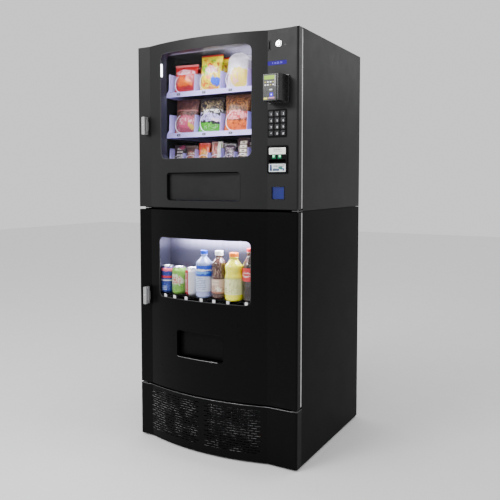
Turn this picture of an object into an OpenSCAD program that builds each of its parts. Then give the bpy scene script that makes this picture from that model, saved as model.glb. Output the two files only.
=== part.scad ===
/* [Cabinet] */
// Overall width of the machine
machine_w = 800; // [790:5:820]
// Overall height, floor to the top of the snack cabinet
machine_h = 1778; // [1770:2:1790]
// Depth from the flat part of the door fronts to the back panel
machine_d = 700; // [680:10:740]
// Height of the snack cabinet, which stands on the drink cabinet
upper_h = 721; // [716:1:724]
// Height of the base front, floor to its top edge
base_h = 245; // [240:1:248]
// Height of the feet under the base pan
foot_h = 8; // [7:1:12]
// Sheet steel thickness
sheet = 1.5; // [1.2:0.1:1.8]

/* [Door fronts] */
// Flat strip at the left of the bowed front
bow_left = 70; // [66:1:74]
// Flat strip at the right of the bowed front, which carries the controls
bow_right = 135; // [130:1:138]
// How far the bow stands out of the flat strips
bow_sag = 45; // [40:1:48]
// Thickness of a door at its flat strips
door_t = 34; // [32:1:38]
// Thickness of the door gasket
gasket_t = 11.5; // [9:0.5:13]
// Gap between the two doors
door_gap = 11; // [9:1:12]
// Radius of the doors' outer vertical edges
edge_r = 8; // [6:1:10]

/* [Snack section] */
// Lane pitch of the two upper trays
lane_w = 140; // [136:1:142]
// Vertical distance between trays
tray_pitch = 187; // [184:1:190]
// Depth of a tray, front rail to rear
tray_d = 455; // [440:5:480]
// Mean radius of a snack coil
coil_r = 46; // [42:1:50]
// Mean radius of a candy coil
candy_r = 27; // [25:1:29]
// Pitch of a snack coil
coil_pitch = 66; // [60:1:72]
// Pitch of a candy coil
candy_pitch = 48; // [44:1:54]

/* [Drink section] */
// Number of drink columns
columns = 7; // [6:1:7]
// Column pitch
column_w = 98; // [94:1:100]

/* [Controls] */
// Key pitch across the keypad
key_pitch_x = 27; // [26:0.5:28]
// Key pitch down the keypad
key_pitch_z = 25.6; // [25:0.2:27]
// Side of a square key
key_side = 19; // [18:0.5:20]
// Key travel
key_travel = 1.5; // [1:0.1:2]

/* [Hidden] */
coil_names = [for (t = ["top", "middle"]) for (i = [1:4]) str("coil_", t, "_", i)];
candy_names = [for (i = [1:8]) str("coil_candy_", i)];
key_names = [for (k = ["1", "2", "3", "4", "5", "6", "7", "8", "9", "star", "0", "hash"]) str("key_", k)];

// The flat front plane is y = 0 in the modules. The row's origin is midway between the card
// reader's face and the back panel, so everything is moved forward by this much.
reader_proj = 68;
front_y = -(machine_d - reader_proj) / 2;

half_w = machine_w / 2;
seam_z = machine_h - upper_h;                    // top of the drink cabinet
upper_door_z0 = seam_z + door_gap / 2;
upper_door_z1 = machine_h - 3.5;
lower_door_z1 = seam_z - door_gap / 2;
lower_door_z0 = base_h + 9;
cabinet_y = door_t + gasket_t + 0.5;             // front faces of both cabinets

bow_x0 = -half_w + bow_left;
bow_x1 = half_w - bow_right;
bow_cx = (bow_x0 + bow_x1) / 2;
bow_half = (bow_x1 - bow_x0) / 2;
bow_r = (bow_half * bow_half + bow_sag * bow_sag) / (2 * bow_sag);
bow_cy = bow_r - bow_sag;

// Height of the bowed surface in front of the flat plane, as a y value
function bow_y(x) = abs(x - bow_cx) >= bow_half ? 0 : bow_cy - sqrt(pow(bow_r, 2) - pow(x - bow_cx, 2));

hinge_x = half_w - 5;
hinge_y = 12;
pin_r = 3;
bore_gap = 0.05;

control_x = half_w - 93;                         // centre line of the control strip
window_t = 4;
port_back = -14;                                 // rear end of the two delivery port sleeves
liner_y = door_t - 2;

upper_window_c = [bow_cx + 4.5, upper_door_z1 - 273];
upper_window_s = [460, 458];
snack_port_c = [bow_cx - 2, upper_door_z0 + 91];
snack_port_s = [373, 121];
lower_window_c = [bow_cx - 5, lower_door_z1 - 255];
lower_window_s = [471, 269];
drink_port_c = [bow_cx - 12.5, lower_door_z0 + 214];
drink_port_s = [240, 118];

handle_x = -half_w + 55;
upper_handle_z = seam_z + 367;
lower_handle_z = lower_door_z0 + 407;
key_core_z = 4;

display_z = machine_h - 135;
reader_z = machine_h - 240;
keypad_z = machine_h - 373;
validator_z = machine_h - 516;
cup_z = machine_h - 650;
coin_slot_z = machine_h - 64;
coin_button_x = control_x + 8;
coin_button_z = machine_h - 61;

wall = 15;                                       // depth of the cabinet's folded front frame
tray_x0 = -half_w + 58;
tray_y0 = 131;
tray_z = [for (i = [0:2]) seam_z + 508 - tray_pitch * i + (i == 2 ? 30 : 0)];
plate_h = 112;
coil_y0 = tray_y0 + 24;
coil_y1 = tray_y0 + tray_d - 34;
coil_wire = 2.2;
candy_wire = 1.7;
shaft_r = 3;

cold_t = 28;                                     // insulated wall
cold_z0 = base_h;
cold_z1 = seam_z - 14;
column_x0 = -columns * column_w / 2;
column_y0 = 170;
column_y1 = 600;
column_z0 = 610;
gate_z = 570;
gate_r = 38;
fan_c = [90, 230, 125];

// ---------- shared shapes ----------

module box(a, b) { translate(a) cube(b - a); }

// Children drawn in the XZ plane, extruded along Y from y0 to y1
module along_y(y0, y1) { translate([0, y1, 0]) rotate([90, 0, 0]) linear_extrude(y1 - y0) children(); }

// Children drawn in the YZ plane, extruded along X from x0 to x1
module along_x(x0, x1) { translate([x0, 0, 0]) rotate([90, 0, 90]) linear_extrude(x1 - x0) children(); }

module rounded(size, r) {
    square([size[0] - 2 * r, size[1]], center = true);
    square([size[0], size[1] - 2 * r], center = true);
    for (sx = [-1, 1]) for (sz = [-1, 1])
        translate([sx * (size[0] / 2 - r), sz * (size[1] / 2 - r)]) circle(r = r, $fn = 48);
}

module rounded_at(c, size, r) { translate(c) rounded(size, r); }

module ring_at(c, size, r, t) {
    difference() {
        rounded_at(c, size + [2 * t, 2 * t], r + t);
        rounded_at(c, size, r);
    }
}

// Plan of a door or of the base: a flat front with rounded ends and the bow, back to y = back
module front_plan(inset, back) {
    w = half_w - inset;
    r = max(edge_r - inset, 0.5);
    translate([-w, inset + r]) square([2 * w, back - inset - r]);
    translate([-w + r, inset]) square([2 * (w - r), r + 1]);
    for (s = [-1, 1]) translate([s * (w - r), inset + r]) circle(r = r, $fn = 48);
    intersection() {
        translate([bow_cx, bow_cy]) circle(r = bow_r - inset, $fn = 256);
        translate([-w + 2 * r, -bow_sag - 5]) square([2 * w - 4 * r, bow_sag + 5 + inset + 5]);
    }
}

module front_block(z0, z1, inset, back) {
    translate([0, 0, z0]) linear_extrude(z1 - z0) front_plan(inset, back);
}

// Folded steel pan: bowed face with returned edges all round, open at the back
module front_pan(z0, z1, back) {
    difference() {
        front_block(z0, z1, 0, back);
        front_block(z0 + sheet, z1 - sheet, sheet, back + 1);
    }
}

module pin_hole(z0, z1) {
    translate([hinge_x, hinge_y, z0]) cylinder(r = pin_r + bore_gap, h = z1 - z0, $fn = 48);
}

// Reinforcing block behind each hinge corner of a door
module hinge_block(z0, z1) { box([half_w - 24, sheet + 2, z0], [half_w - sheet - 0.2, 26, z1]); }

module port_sleeve(c, size, r) {
    intersection() {
        along_y(-bow_sag - 5, port_back) ring_at(c, size, r, sheet);
        front_block(c[1] - size[1], c[1] + size[1], sheet / 2, door_t);
    }
}

// Floor that a dropped item crosses between the cabinet and the port
module landing(c, size) {
    z = c[1] - size[1] / 2 - 6;
    box([c[0] - size[0] / 2 + 8, port_back + 2, z], [c[0] + size[0] / 2 - 8, cabinet_y - 1, z + 1.5]);
}

// Ears that carry a flap's pins, either side of a port
module flap_ears(c, size, pin_z, pin_y) {
    for (s = [-1, 1]) translate([c[0] + s * (size[0] / 2 + sheet + 3.2), 0, pin_z])
        difference() {
            translate([-2.5, port_back - 6, -9]) cube([5, -port_back + liner_y + 6, 18]);
            translate([0, pin_y, 0]) rotate([0, 90, 0])
                cylinder(r = 2.5 + bore_gap, h = 20, center = true, $fn = 36);
        }
}

flap_pin_y = -8;
flap_drop = 5;                                   // pin below the port's top edge

// Hinged delivery flap: a stiff plate under a rolled barrel, with a stub pin at each end
module flap(c, size) {
    pin_z = c[1] + size[1] / 2 - flap_drop;
    gap = 2.2;
    x0 = c[0] - size[0] / 2 + gap;
    x1 = c[0] + size[0] / 2 - gap;
    z0 = c[1] - size[1] / 2 + 3;
    along_y(flap_pin_y - 2, flap_pin_y + 1)
        rounded_at([c[0], (z0 + pin_z) / 2], [x1 - x0, pin_z - z0], 6);
    translate([x0, flap_pin_y, pin_z]) rotate([0, 90, 0]) cylinder(r = 4, h = x1 - x0, $fn = 48);
    translate([c[0] - size[0] / 2 - 8, flap_pin_y, pin_z])
        rotate([0, 90, 0]) cylinder(r = 2.5, h = size[0] + 16, $fn = 36);
    box([x0 + 20, flap_pin_y, z0 + 4], [x1 - 20, flap_pin_y + 8, z0 + 6]);
}

// ---------- drink cabinet ----------

module lower_cabinet() {
    color([0.05, 0.05, 0.055]) {
        g = 0.1;
        top = seam_z - 2;
        for (s = [-1, 1]) {
            x = s * (half_w - sheet / 2);
            box([x - sheet / 2, cabinet_y, foot_h], [x + sheet / 2, machine_d, top]);
            // front frame strip
            a = s * (half_w - sheet - g);
            b = s * (half_w - wall - 12);
            box([min(a, b), cabinet_y, base_h + 1], [max(a, b), cabinet_y + sheet, top - sheet - g]);
        }
        box([-half_w + sheet + g, cabinet_y, top - sheet],
            [half_w - sheet - g, machine_d - sheet - g, top]);
        box([-half_w + sheet + g, cabinet_y, base_h + 1], [half_w - sheet - g, cabinet_y + sheet, base_h + 22]);
        difference() {
            box([-half_w + sheet + g, machine_d - sheet, foot_h + 12], [half_w - sheet - g, machine_d, top]);
            for (i = [0:9]) for (j = [0:4])
                box([-290 + j * 90, machine_d - 5, 60 + i * 15], [-220 + j * 90, machine_d + 5, 64 + i * 15]);
            box([230, machine_d - 5, 100], [258, machine_d + 5, 124]);
        }
        // base pan and deck under the cold box
        difference() {
            box([-half_w + sheet + g, cabinet_y, foot_h], [half_w - sheet - g, machine_d - g, foot_h + 10]);
            for (x = [-1, 1]) for (y = [90, machine_d - 60])
                translate([x * (half_w - 60), y, foot_h - 1]) cylinder(r = 6, h = 12, $fn = 36);
        }
        box([-half_w + sheet + g, cabinet_y + sheet + g, base_h - 3],
            [half_w - sheet - g, machine_d - sheet - g, base_h - 1]);
    }
    // appliance inlet in the back panel
    color([0.03, 0.03, 0.03]) difference() {
        union() {
            along_y(machine_d - 24, machine_d - sheet - 0.1) rounded_at([244, 112], [34, 30], 3);
            along_y(machine_d - 24, machine_d) rounded_at([244, 112], [27.5, 23.5], 2);
        }
        along_y(machine_d - 20, machine_d + 1) rounded_at([244, 112], [24.4, 19.4], 2);
    }
}

module cold_liner() {
    color([0.78, 0.79, 0.82]) {
        g = 0.1;
        x = half_w - sheet - 1;
        y0 = cabinet_y + sheet + 1;
        y1 = machine_d - sheet - 1;
        for (s = [-1, 1])
            box([min(s * x, s * (x - cold_t)), y0, cold_z0], [max(s * x, s * (x - cold_t)), y1, cold_z1]);
        box([-x + cold_t + g, y0, cold_z0], [x - cold_t - g, y1, cold_z0 + cold_t]);
        box([-x + cold_t + g, y0, cold_z1 - cold_t], [x - cold_t - g, y1, cold_z1]);
        box([-x + cold_t + g, y1 - cold_t, cold_z0 + cold_t + g], [x - cold_t - g, y1, cold_z1 - cold_t - g]);
    }
}

slot_w = 24;
slot_pitch_x = 31;
slot_pitch_z = 10.6;
slot_rows = 18;

// Staggered slots: two fields either side of a plain bar
module grille_slots() {
    for (row = [0:slot_rows - 1]) {
        shift = row % 2 == 0 ? 0 : slot_pitch_x / 2;
        z = 44 + row * slot_pitch_z;
        for (field = [[bow_x0 - 4, 8], [bow_cx + 14, 7]])
            for (i = [0:field[1]])
                translate([field[0] + i * slot_pitch_x + shift, z]) square([slot_w, 3.4]);
    }
}

module base_grille() {
    color([0.05, 0.05, 0.055]) difference() {
        front_pan(foot_h, base_h, cabinet_y - 0.1);
        along_y(-bow_sag - 5, 20) grille_slots();
    }
}

module leveling_feet() {
    color([0.55, 0.56, 0.58]) for (x = [-1, 1]) for (y = [90, machine_d - 60])
        translate([x * (half_w - 60), y, 0]) {
            cylinder(r = 20, h = 4, $fn = 64);
            cylinder(r = 13, h = foot_h - 0.5, $fn = 48);
            cylinder(r = 5, h = 60, $fn = 36);
            translate([0, 0, foot_h + 10.2]) cylinder(r = 9, h = 8, $fn = 6);
        }
}

module compressor() {
    color([0.06, 0.06, 0.06]) translate([-190, 470, foot_h + 10]) {
        // mounting plate, rubber feet and domed shell
        difference() {
            translate([-105, -75, 8]) cube([210, 150, 4]);
            for (x = [-88, 88]) for (y = [-58, 58]) translate([x, y, 0]) cylinder(r = 5, h = 20, $fn = 36);
        }
        for (x = [-88, 88]) for (y = [-58, 58]) translate([x, y, 0]) {
            cylinder(r = 12, h = 8, $fn = 36);
            cylinder(r = 4.6, h = 18, $fn = 36);
        }
        rotate_extrude($fn = 96) {
            translate([0, 12]) square([72, 70]);
            translate([0, 82]) square([76, 5]);
            intersection() {
                translate([0, 87]) scale([1, 0.7]) circle(r = 70, $fn = 96);
                translate([0, 80]) square([80, 80]);
            }
        }
        translate([66, -22, 30]) cube([26, 44, 50]);
        translate([30, 30, 100]) cylinder(r = 4, h = 50, $fn = 24);
        translate([-30, 30, 100]) cylinder(r = 5, h = 50, $fn = 24);
    }
}

// Finned block with its tube returns, centred on x
module finned_block(size, fins) {
    pitch = size[0] / fins;
    for (i = [0:fins - 1]) translate([-size[0] / 2 + i * pitch, 0, 0]) cube([1.2, size[1], size[2]]);
    for (z = [14:24:size[2] - 8]) translate([-size[0] / 2 - 8, size[1] / 2, z])
        rotate([0, 90, 0]) cylinder(r = 4, h = size[0] + 16, $fn = 24);
    for (s = [-1, 1]) translate([s * (size[0] / 2 + 8) - 2, 0, 0]) cube([4, size[1], size[2]]);
}

module heat_exchangers() {
    color([0.62, 0.63, 0.66]) {
        // condenser behind the base grille, with its shroud ring and fan motor
        translate([fan_c[0], 110, 30]) finned_block([330, 44, 190], 30);
        difference() {
            translate([fan_c[0] - 120, fan_c[1] - 30, 22]) cube([240, 3, 206]);
            translate([fan_c[0], fan_c[1] - 40, fan_c[2]]) rotate([-90, 0, 0])
                cylinder(r = 94, h = 30, $fn = 96);
        }
        translate([fan_c[0], fan_c[1] + 22, fan_c[2]]) rotate([-90, 0, 0]) {
            cylinder(r = 28, h = 46, $fn = 48);
            translate([0, 0, -26]) cylinder(r = shaft_r, h = 30, $fn = 36);
        }
        box([fan_c[0] - 20, fan_c[1] + 34, foot_h + 10], [fan_c[0] + 20, fan_c[1] + 60, fan_c[2] - 20]);
        // evaporator at the top rear of the cold box
        translate([0, machine_d - 95, cold_z1 - cold_t - 135]) finned_block([560, 50, 120], 36);
    }
}

module condenser_fan() {
    color([0.12, 0.12, 0.13]) translate(fan_c) rotate([-90, 0, 0]) {
        difference() {
            union() {
                translate([0, 0, -12]) cylinder(r = 24, h = 24, $fn = 48);
                for (a = [0:72:288]) rotate([0, 0, a]) translate([52, 0, 0]) rotate([24, 0, 0])
                    cube([68, 46, 2.4], center = true);
            }
            translate([0, 0, -6]) cylinder(r = shaft_r + bore_gap, h = 30, $fn = 36);
        }
    }
}

// Column walls, rear plate, vend gates with their drives, and the chute to the port
module drink_columns() {
    color([0.72, 0.73, 0.76]) {
        for (i = [0:columns]) translate([column_x0 + i * column_w, 0, 0])
            box([-0.6, column_y0, column_z0], [0.6, column_y1, cold_z1 - cold_t - 8]);
        box([column_x0 + 1, column_y1 + 0.2, gate_z - 60],
            [column_x0 + columns * column_w - 1, column_y1 + 2, cold_z1 - cold_t - 140]);
        // chute
        along_x(column_x0, column_x0 + columns * column_w)
            polygon([[50, 418], [column_y1 - 4, 505], [column_y1 - 4, 507], [50, 420]]);
    }
    color([0.85, 0.85, 0.82])
    for (i = [0:columns - 1]) translate([column_x0 + (i + 0.5) * column_w, 0, gate_z]) {
        along_y(column_y0 + 10, column_y1 - 40) difference() {
            circle(r = gate_r, $fn = 64);
            circle(r = gate_r - 3, $fn = 64);
            translate([-gate_r - 1, 0]) square([2 * gate_r + 2, gate_r + 1]);
        }
        along_y(column_y1 - 40, column_y1 - 36) circle(r = gate_r, $fn = 64);
        along_y(column_y1 - 35.8, column_y1 - 2) square([46, 46], center = true);
    }
}

// ---------- snack cabinet ----------

module upper_cabinet() {
    color([0.05, 0.05, 0.055]) {
        g = 0.1;
        z0 = seam_z;
        z1 = machine_h;
        for (s = [-1, 1]) {
            x = s * (half_w - sheet / 2);
            box([x - sheet / 2, cabinet_y, z0], [x + sheet / 2, machine_d, z1]);
            a = s * (half_w - sheet - g);
            b = s * (half_w - wall);
            box([min(a, b), cabinet_y, z0 + sheet + g], [max(a, b), cabinet_y + 20, z1 - sheet - g]);
        }
        box([-half_w + sheet + g, cabinet_y, z1 - sheet], [half_w - sheet - g, machine_d - sheet - g, z1]);
        box([-half_w + sheet + g, cabinet_y, z0], [half_w - sheet - g, machine_d - sheet - g, z0 + sheet]);
        box([-half_w + sheet + g, machine_d - sheet, z0], [half_w - sheet - g, machine_d, z1]);
        box([-half_w + wall + g, cabinet_y, z1 - 17], [half_w - wall - g, cabinet_y + 20, z1 - sheet - g]);
        box([-half_w + wall + g, cabinet_y, z0 + sheet + g], [half_w - wall - g, cabinet_y + 20, z0 + 17]);
        // partition beside the trays, rear bulkhead behind the coil motors, tray rails
        px = tray_x0 + 4 * lane_w + 14;
        box([px, 190, z0 + sheet + g], [px + 1.5, machine_d - sheet - g, z1 - sheet - g]);
        for (z = tray_z) {
            box([tray_x0 - 14, 200, z - 6], [tray_x0 - 4, 600, z - 1]);
            box([tray_x0 + 4 * lane_w + 4, 200, z - 6], [px - g, 600, z - 1]);
        }
        // sloping floor of the snack bin
        along_x(tray_x0, tray_x0 + 4 * lane_w)
            polygon([[cabinet_y + 24, z0 + 20], [330, z0 + 60], [330, z0 + 62], [cabinet_y + 24, z0 + 22]]);
    }
}

// Side view of a tray plate: the front edge slopes back from a low nose
module plate_side(h) {
    translate([tray_y0, 0])
        polygon([[0, 0], [tray_d, 0], [tray_d, h * 0.8], [60, h], [29, h], [24, h * 0.34], [0, 7]]);
}

module snack_tray(z, lanes, low_h) {
    pitch = 4 * lane_w / lanes;
    translate([0, 0, z]) {
        box([tray_x0 + 1.2, tray_y0 + 10, 19], [tray_x0 + 4 * lane_w - 1.2, tray_y0 + tray_d, 20.2]);
        // price rail, leaning back
        along_x(tray_x0 + 1.2, tray_x0 + 4 * lane_w - 1.2)
            polygon([[tray_y0, 0], [tray_y0 + 2, 0], [tray_y0 + 9, 23], [tray_y0 + 7, 23]]);
        for (s = [0, 4 * lane_w]) translate([s, 0, 0]) along_x(tray_x0 - 1, tray_x0 + 1) plate_side(plate_h);
        for (i = [1:lanes - 1]) along_x(tray_x0 + i * pitch - 0.6, tray_x0 + i * pitch + 0.6)
            polygon([[tray_y0 + 24, 20.4], [tray_y0 + tray_d, 20.4], [tray_y0 + tray_d, 90],
                     [tray_y0 + 34, i % 2 == 1 && lanes > 4 ? low_h : plate_h - 6]]);
    }
}

module snack_trays() {
    color([0.86, 0.86, 0.93]) {
        snack_tray(tray_z[0], 4, 0);
        snack_tray(tray_z[1], 4, 0);
        snack_tray(tray_z[2], 8, 88);
    }
}

function lane_centre(i) = tray_x0 + (i + 0.5) * lane_w;
function candy_centre(i) = tray_x0 + (i + 0.5) * lane_w / 2;
function snack_axis_z(t) = tray_z[t] + 20.2 + coil_r + coil_wire + 1.5;
candy_axis_z = tray_z[2] + 20.2 + candy_r + candy_wire + 1.5;

// Coil motor: gearbox block with an output shaft that the coil's hub slides on
module coil_motor(w) {
    box([-w / 2, coil_y1 + 16, -w / 2], [w / 2, coil_y1 + 44, w / 2]);
    translate([0, coil_y1 + 17, 0]) rotate([90, 0, 0]) cylinder(r = shaft_r, h = 13, $fn = 36);
    translate([0, coil_y1 + 44, 0]) rotate([-90, 0, 0]) cylinder(r = w * 0.3, h = 22, $fn = 36);
}

module coil_motors() {
    color([0.9, 0.9, 0.86]) {
        for (t = [0, 1]) for (i = [0:3]) translate([lane_centre(i), 0, snack_axis_z(t)]) coil_motor(56);
        for (i = [0:7]) translate([candy_centre(i), 0, candy_axis_z]) coil_motor(48);
    }
}

// Wire coil about the Y axis: a helix from the rear leg to the front, and a leg down to the hub
function coil_point(r, pitch, s) = [r * cos(s * 360), -s * pitch, r * sin(s * 360)];
function unit(v) = v / norm(v);

module coil(r, pitch, wire, steps, sides) {
    length = coil_y1 - coil_y0;
    turns = length / pitch;
    n = ceil(turns * steps);
    leg = [[5, 0, 0], [r * 0.55, 0, 0]];
    path = concat(leg, [for (i = [0:n]) coil_point(r, pitch, turns * i / n)]);
    last = len(path) - 1;
    rings = [for (i = [0:last])
        let (t = unit(path[min(i + 1, last)] - path[max(i - 1, 0)]),
             u = unit(cross(t, [0, 1, 0])),
             v = cross(u, t))
        for (k = [0:sides - 1]) path[i] + wire * (u * cos(360 * k / sides) + v * sin(360 * k / sides))];
    // turned so that the front end of the wire is at the bottom
    translate([0, coil_y1, 0]) rotate([0, 360 * turns + 90, 0]) {
        polyhedron(rings, concat(
            [[for (k = [sides - 1:-1:0]) k]],
            [for (i = [0:last - 1]) for (k = [0:sides - 1])
                [i * sides + k, i * sides + (k + 1) % sides, (i + 1) * sides + (k + 1) % sides]],
            [for (i = [0:last - 1]) for (k = [0:sides - 1])
                [i * sides + k, (i + 1) * sides + (k + 1) % sides, (i + 1) * sides + k]],
            [[for (k = [0:sides - 1]) last * sides + k]]));
        difference() {
            translate([0, 14, 0]) rotate([90, 0, 0]) cylinder(r = 9, h = 20, $fn = 36);
            translate([0, 15, 0]) rotate([90, 0, 0]) cylinder(r = shaft_r + bore_gap, h = 14, $fn = 36);
        }
    }
}

module snack_coil(k) {
    color([0.88, 0.88, 0.9]) translate([lane_centre(k % 4), 0, snack_axis_z(floor(k / 4))])
        coil(coil_r, coil_pitch, coil_wire, 12, 4);
}

module candy_coil(k) {
    color([0.88, 0.88, 0.9]) translate([candy_centre(k), 0, candy_axis_z])
        coil(candy_r, candy_pitch, candy_wire, 9, 4);
}

module light_tubes() {
    color([0.95, 0.95, 1]) {
        translate([tray_x0, cabinet_y + 34, machine_h - 26]) rotate([0, 90, 0])
            cylinder(r = 8, h = 4 * lane_w - 20, $fn = 36);
        translate([-half_w + 28, 130, tray_z[0] + 74]) cylinder(r = 6, h = 78, $fn = 36);
    }
    color([0.3, 0.3, 0.32]) {
        box([tray_x0 - 6, cabinet_y + 22, machine_h - 17],
            [tray_x0 + 4 * lane_w - 14, cabinet_y + 46, machine_h - 2]);
        box([-half_w + 2, 124, tray_z[0] + 70], [-half_w + 21, 136, tray_z[0] + 156]);
    }
}

// Three brackets on the right-hand edge of the cabinets, with the four pins that the doors turn on
module hinge_bracket(z0, z1) { box([half_w - 26, 1, z0], [half_w, cabinet_y - 0.1, z1]); }

module hinge_pin(z0, z1) { translate([hinge_x, hinge_y, z0]) cylinder(r = pin_r, h = z1 - z0, $fn = 48); }

module hinge_pins() {
    color([0.2, 0.2, 0.21]) {
        hinge_bracket(upper_door_z1 + 0.7, machine_h);
        hinge_pin(upper_door_z1 - 12, upper_door_z1 + 1);
        hinge_bracket(seam_z - 1.5, seam_z + 1.5);
        hinge_pin(lower_door_z1 - 12, upper_door_z0 + 12);
        hinge_bracket(base_h + 1, base_h + 4);
        hinge_pin(base_h + 2, lower_door_z0 + 12);
    }
}

// ---------- snack door ----------

module door_skin(z0, z1) {
    difference() {
        union() {
            front_pan(z0, z1, door_t);
            hinge_block(z1 - 14, z1 - sheet / 2);
            hinge_block(z0 + sheet / 2, z0 + 14);
        }
        pin_hole(z0 - 1, z0 + 20);
        pin_hole(z1 - 20, z1 + 1);
    }
}

module lock_hole(z) { translate([handle_x, -5, z]) rotate([-90, 0, 0]) cylinder(r = 9, h = 20, $fn = 48); }

module upper_door_skin() {
    color([0.05, 0.05, 0.055]) {
        difference() {
            door_skin(upper_door_z0, upper_door_z1);
            along_y(-bow_sag - 5, 12) {
                rounded_at(upper_window_c, upper_window_s, 30);
                rounded_at(snack_port_c, snack_port_s, 15);
            }
            along_y(-5, 5) {
                translate([control_x - 34, coin_slot_z]) square([3.6, 29], center = true);
                rounded_at([control_x, display_z], [84, 16], 3);
                rounded_at([control_x + 2, keypad_z], [82, 107], 5);
                rounded_at([control_x + 4, validator_z], [86, 104], 4);
                rounded_at([control_x + 5, cup_z], [56, 52], 3);
                translate([control_x + 8, reader_z]) circle(r = 8, $fn = 48);
                translate([coin_button_x, coin_button_z]) circle(r = 11, $fn = 48);
            }
            lock_hole(upper_handle_z);
        }
        port_sleeve(snack_port_c, snack_port_s, 15);
    }
}

module gasket(z0, z1) {
    color([0.75, 0.75, 0.75]) along_y(door_t + 0.05, door_t + gasket_t)
        difference() {
            translate([-half_w + 3, z0 + 3]) square([hinge_x + half_w - 3, z1 - z0 - 6]);
            translate([-half_w + 17, z0 + 17]) square([hinge_x + half_w - 31, z1 - z0 - 34]);
        }
}

module liner_plate(z0, z1) {
    along_y(liner_y, door_t) translate([0, (z0 + z1) / 2])
        square([machine_w - 2 * sheet - 1, z1 - z0 - 2 * sheet - 1], center = true);
}

module upper_door_liner() {
    color([0.07, 0.07, 0.075]) {
        difference() {
            liner_plate(upper_door_z0, upper_door_z1);
            along_y(liner_y - 1, door_t + 1) {
                rounded_at(upper_window_c, upper_window_s + [12, 12], 34);
                rounded_at(snack_port_c, snack_port_s, 12);
                translate([control_x + 5, seam_z + 361]) square([130, 656], center = true);
            }
        }
        // reveal round the window, from behind the glass to the liner
        intersection() {
            along_y(-bow_sag, door_t - 0.5) ring_at(upper_window_c, upper_window_s + [12, 12], 34, 1.5);
            front_block(upper_door_z0 + 5, upper_door_z1 - 5, sheet + window_t + 1, door_t);
        }
        landing(snack_port_c, snack_port_s);
        flap_ears(snack_port_c, snack_port_s, snack_port_c[1] + snack_port_s[1] / 2 - flap_drop, flap_pin_y);
    }
    gasket(upper_door_z0, upper_door_z1);
}

// Bowed clear panel clamped behind the skin
module window(c, size) {
    intersection() {
        difference() {
            front_block(c[1] - size[1] / 2 - 12, c[1] + size[1] / 2 + 12, sheet + 0.3, door_t);
            front_block(c[1] - size[1], c[1] + size[1], sheet + 0.3 + window_t, door_t + 5);
        }
        box([c[0] - size[0] / 2 - 12, -bow_sag - 5, 0], [c[0] + size[0] / 2 + 12, 20, machine_h]);
    }
}

module upper_window() { color([0.75, 0.8, 0.85, 0.25]) window(upper_window_c, upper_window_s); }

function key_x(k) = control_x + 2 + (k % 3 - 1) * key_pitch_x;
function key_z(k) = keypad_z + (1.5 - floor(k / 3)) * key_pitch_z;

// Keypad frame with a hole for each key, and the display window above it
module control_panel() {
    color([0.1, 0.1, 0.11]) difference() {
        union() {
            along_y(-2, sheet) rounded_at([control_x + 2, keypad_z], [81, 106], 4.5);
            along_y(-2, 0) rounded_at([control_x + 2, keypad_z], [85, 111], 6);
            along_y(sheet + 0.2, 4) rounded_at([control_x + 2, keypad_z], [88, 115], 4);
            along_y(sheet - 0.5, sheet + 1) rounded_at([control_x + 2, keypad_z], [81, 106], 4.5);
        }
        along_y(-5, 10) for (k = [0:11]) translate([key_x(k), key_z(k)])
            rounded([key_side + 0.8, key_side + 0.8], 3);
    }
    color([0.2, 0.15, 0.8]) {
        along_y(0.4, sheet + 0.5) rounded_at([control_x, display_z], [83.4, 15.4], 3);
        along_y(sheet + 0.4, sheet + 3) rounded_at([control_x, display_z], [92, 24], 3);
    }
}

// Key with a shallow dished top and a retaining flange behind the frame
module key(k) {
    color([0.6, 0.61, 0.63]) translate([key_x(k), 0, key_z(k)]) {
        along_y(-4.5, 5) rounded([key_side, key_side], 2.6);
        along_y(4.4, 6) rounded([key_side + 3.4, key_side + 3.4], 2.6);
    }
}

module card_reader() {
    x = control_x + 10;
    color([0.09, 0.09, 0.1]) difference() {
        union() {
            along_y(-6, -0.05) rounded_at([x, reader_z], [92, 110], 5);
            translate([x, 0, reader_z - 51]) linear_extrude(102) {
                polygon([[-42, -5], [42, -5], [36, -60], [30, -reader_proj + 1], [30, -reader_proj],
                         [-36, -reader_proj], [-38, -60]]);
            }
        }
        // card swipe groove down the right-hand side of the face
        box([x + 22, -reader_proj - 1, reader_z - 60], [x + 25, -reader_proj + 14, reader_z + 60]);
    }
}

module bill_validator() {
    x = control_x + 4;
    color([0.06, 0.06, 0.065]) difference() {
        union() {
            along_y(-5, -0.05) rounded_at([x, validator_z], [91, 111], 5);
            along_y(-0.5, 10) rounded_at([x, validator_z], [84, 102], 4);
            box([x - 45, 9.5, validator_z - 60], [x + 45, 150, validator_z + 70]);
        }
        // mouth for the bills, and shallow seats for the two labels
        box([x - 37, -6, validator_z - 14], [x + 37, 24, validator_z]);
        box([x - 39, -6, validator_z + 20], [x + 39, -3.8, validator_z + 48]);
        box([x - 39, -6, validator_z - 50], [x + 39, -3.8, validator_z - 16]);
    }
}

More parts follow.
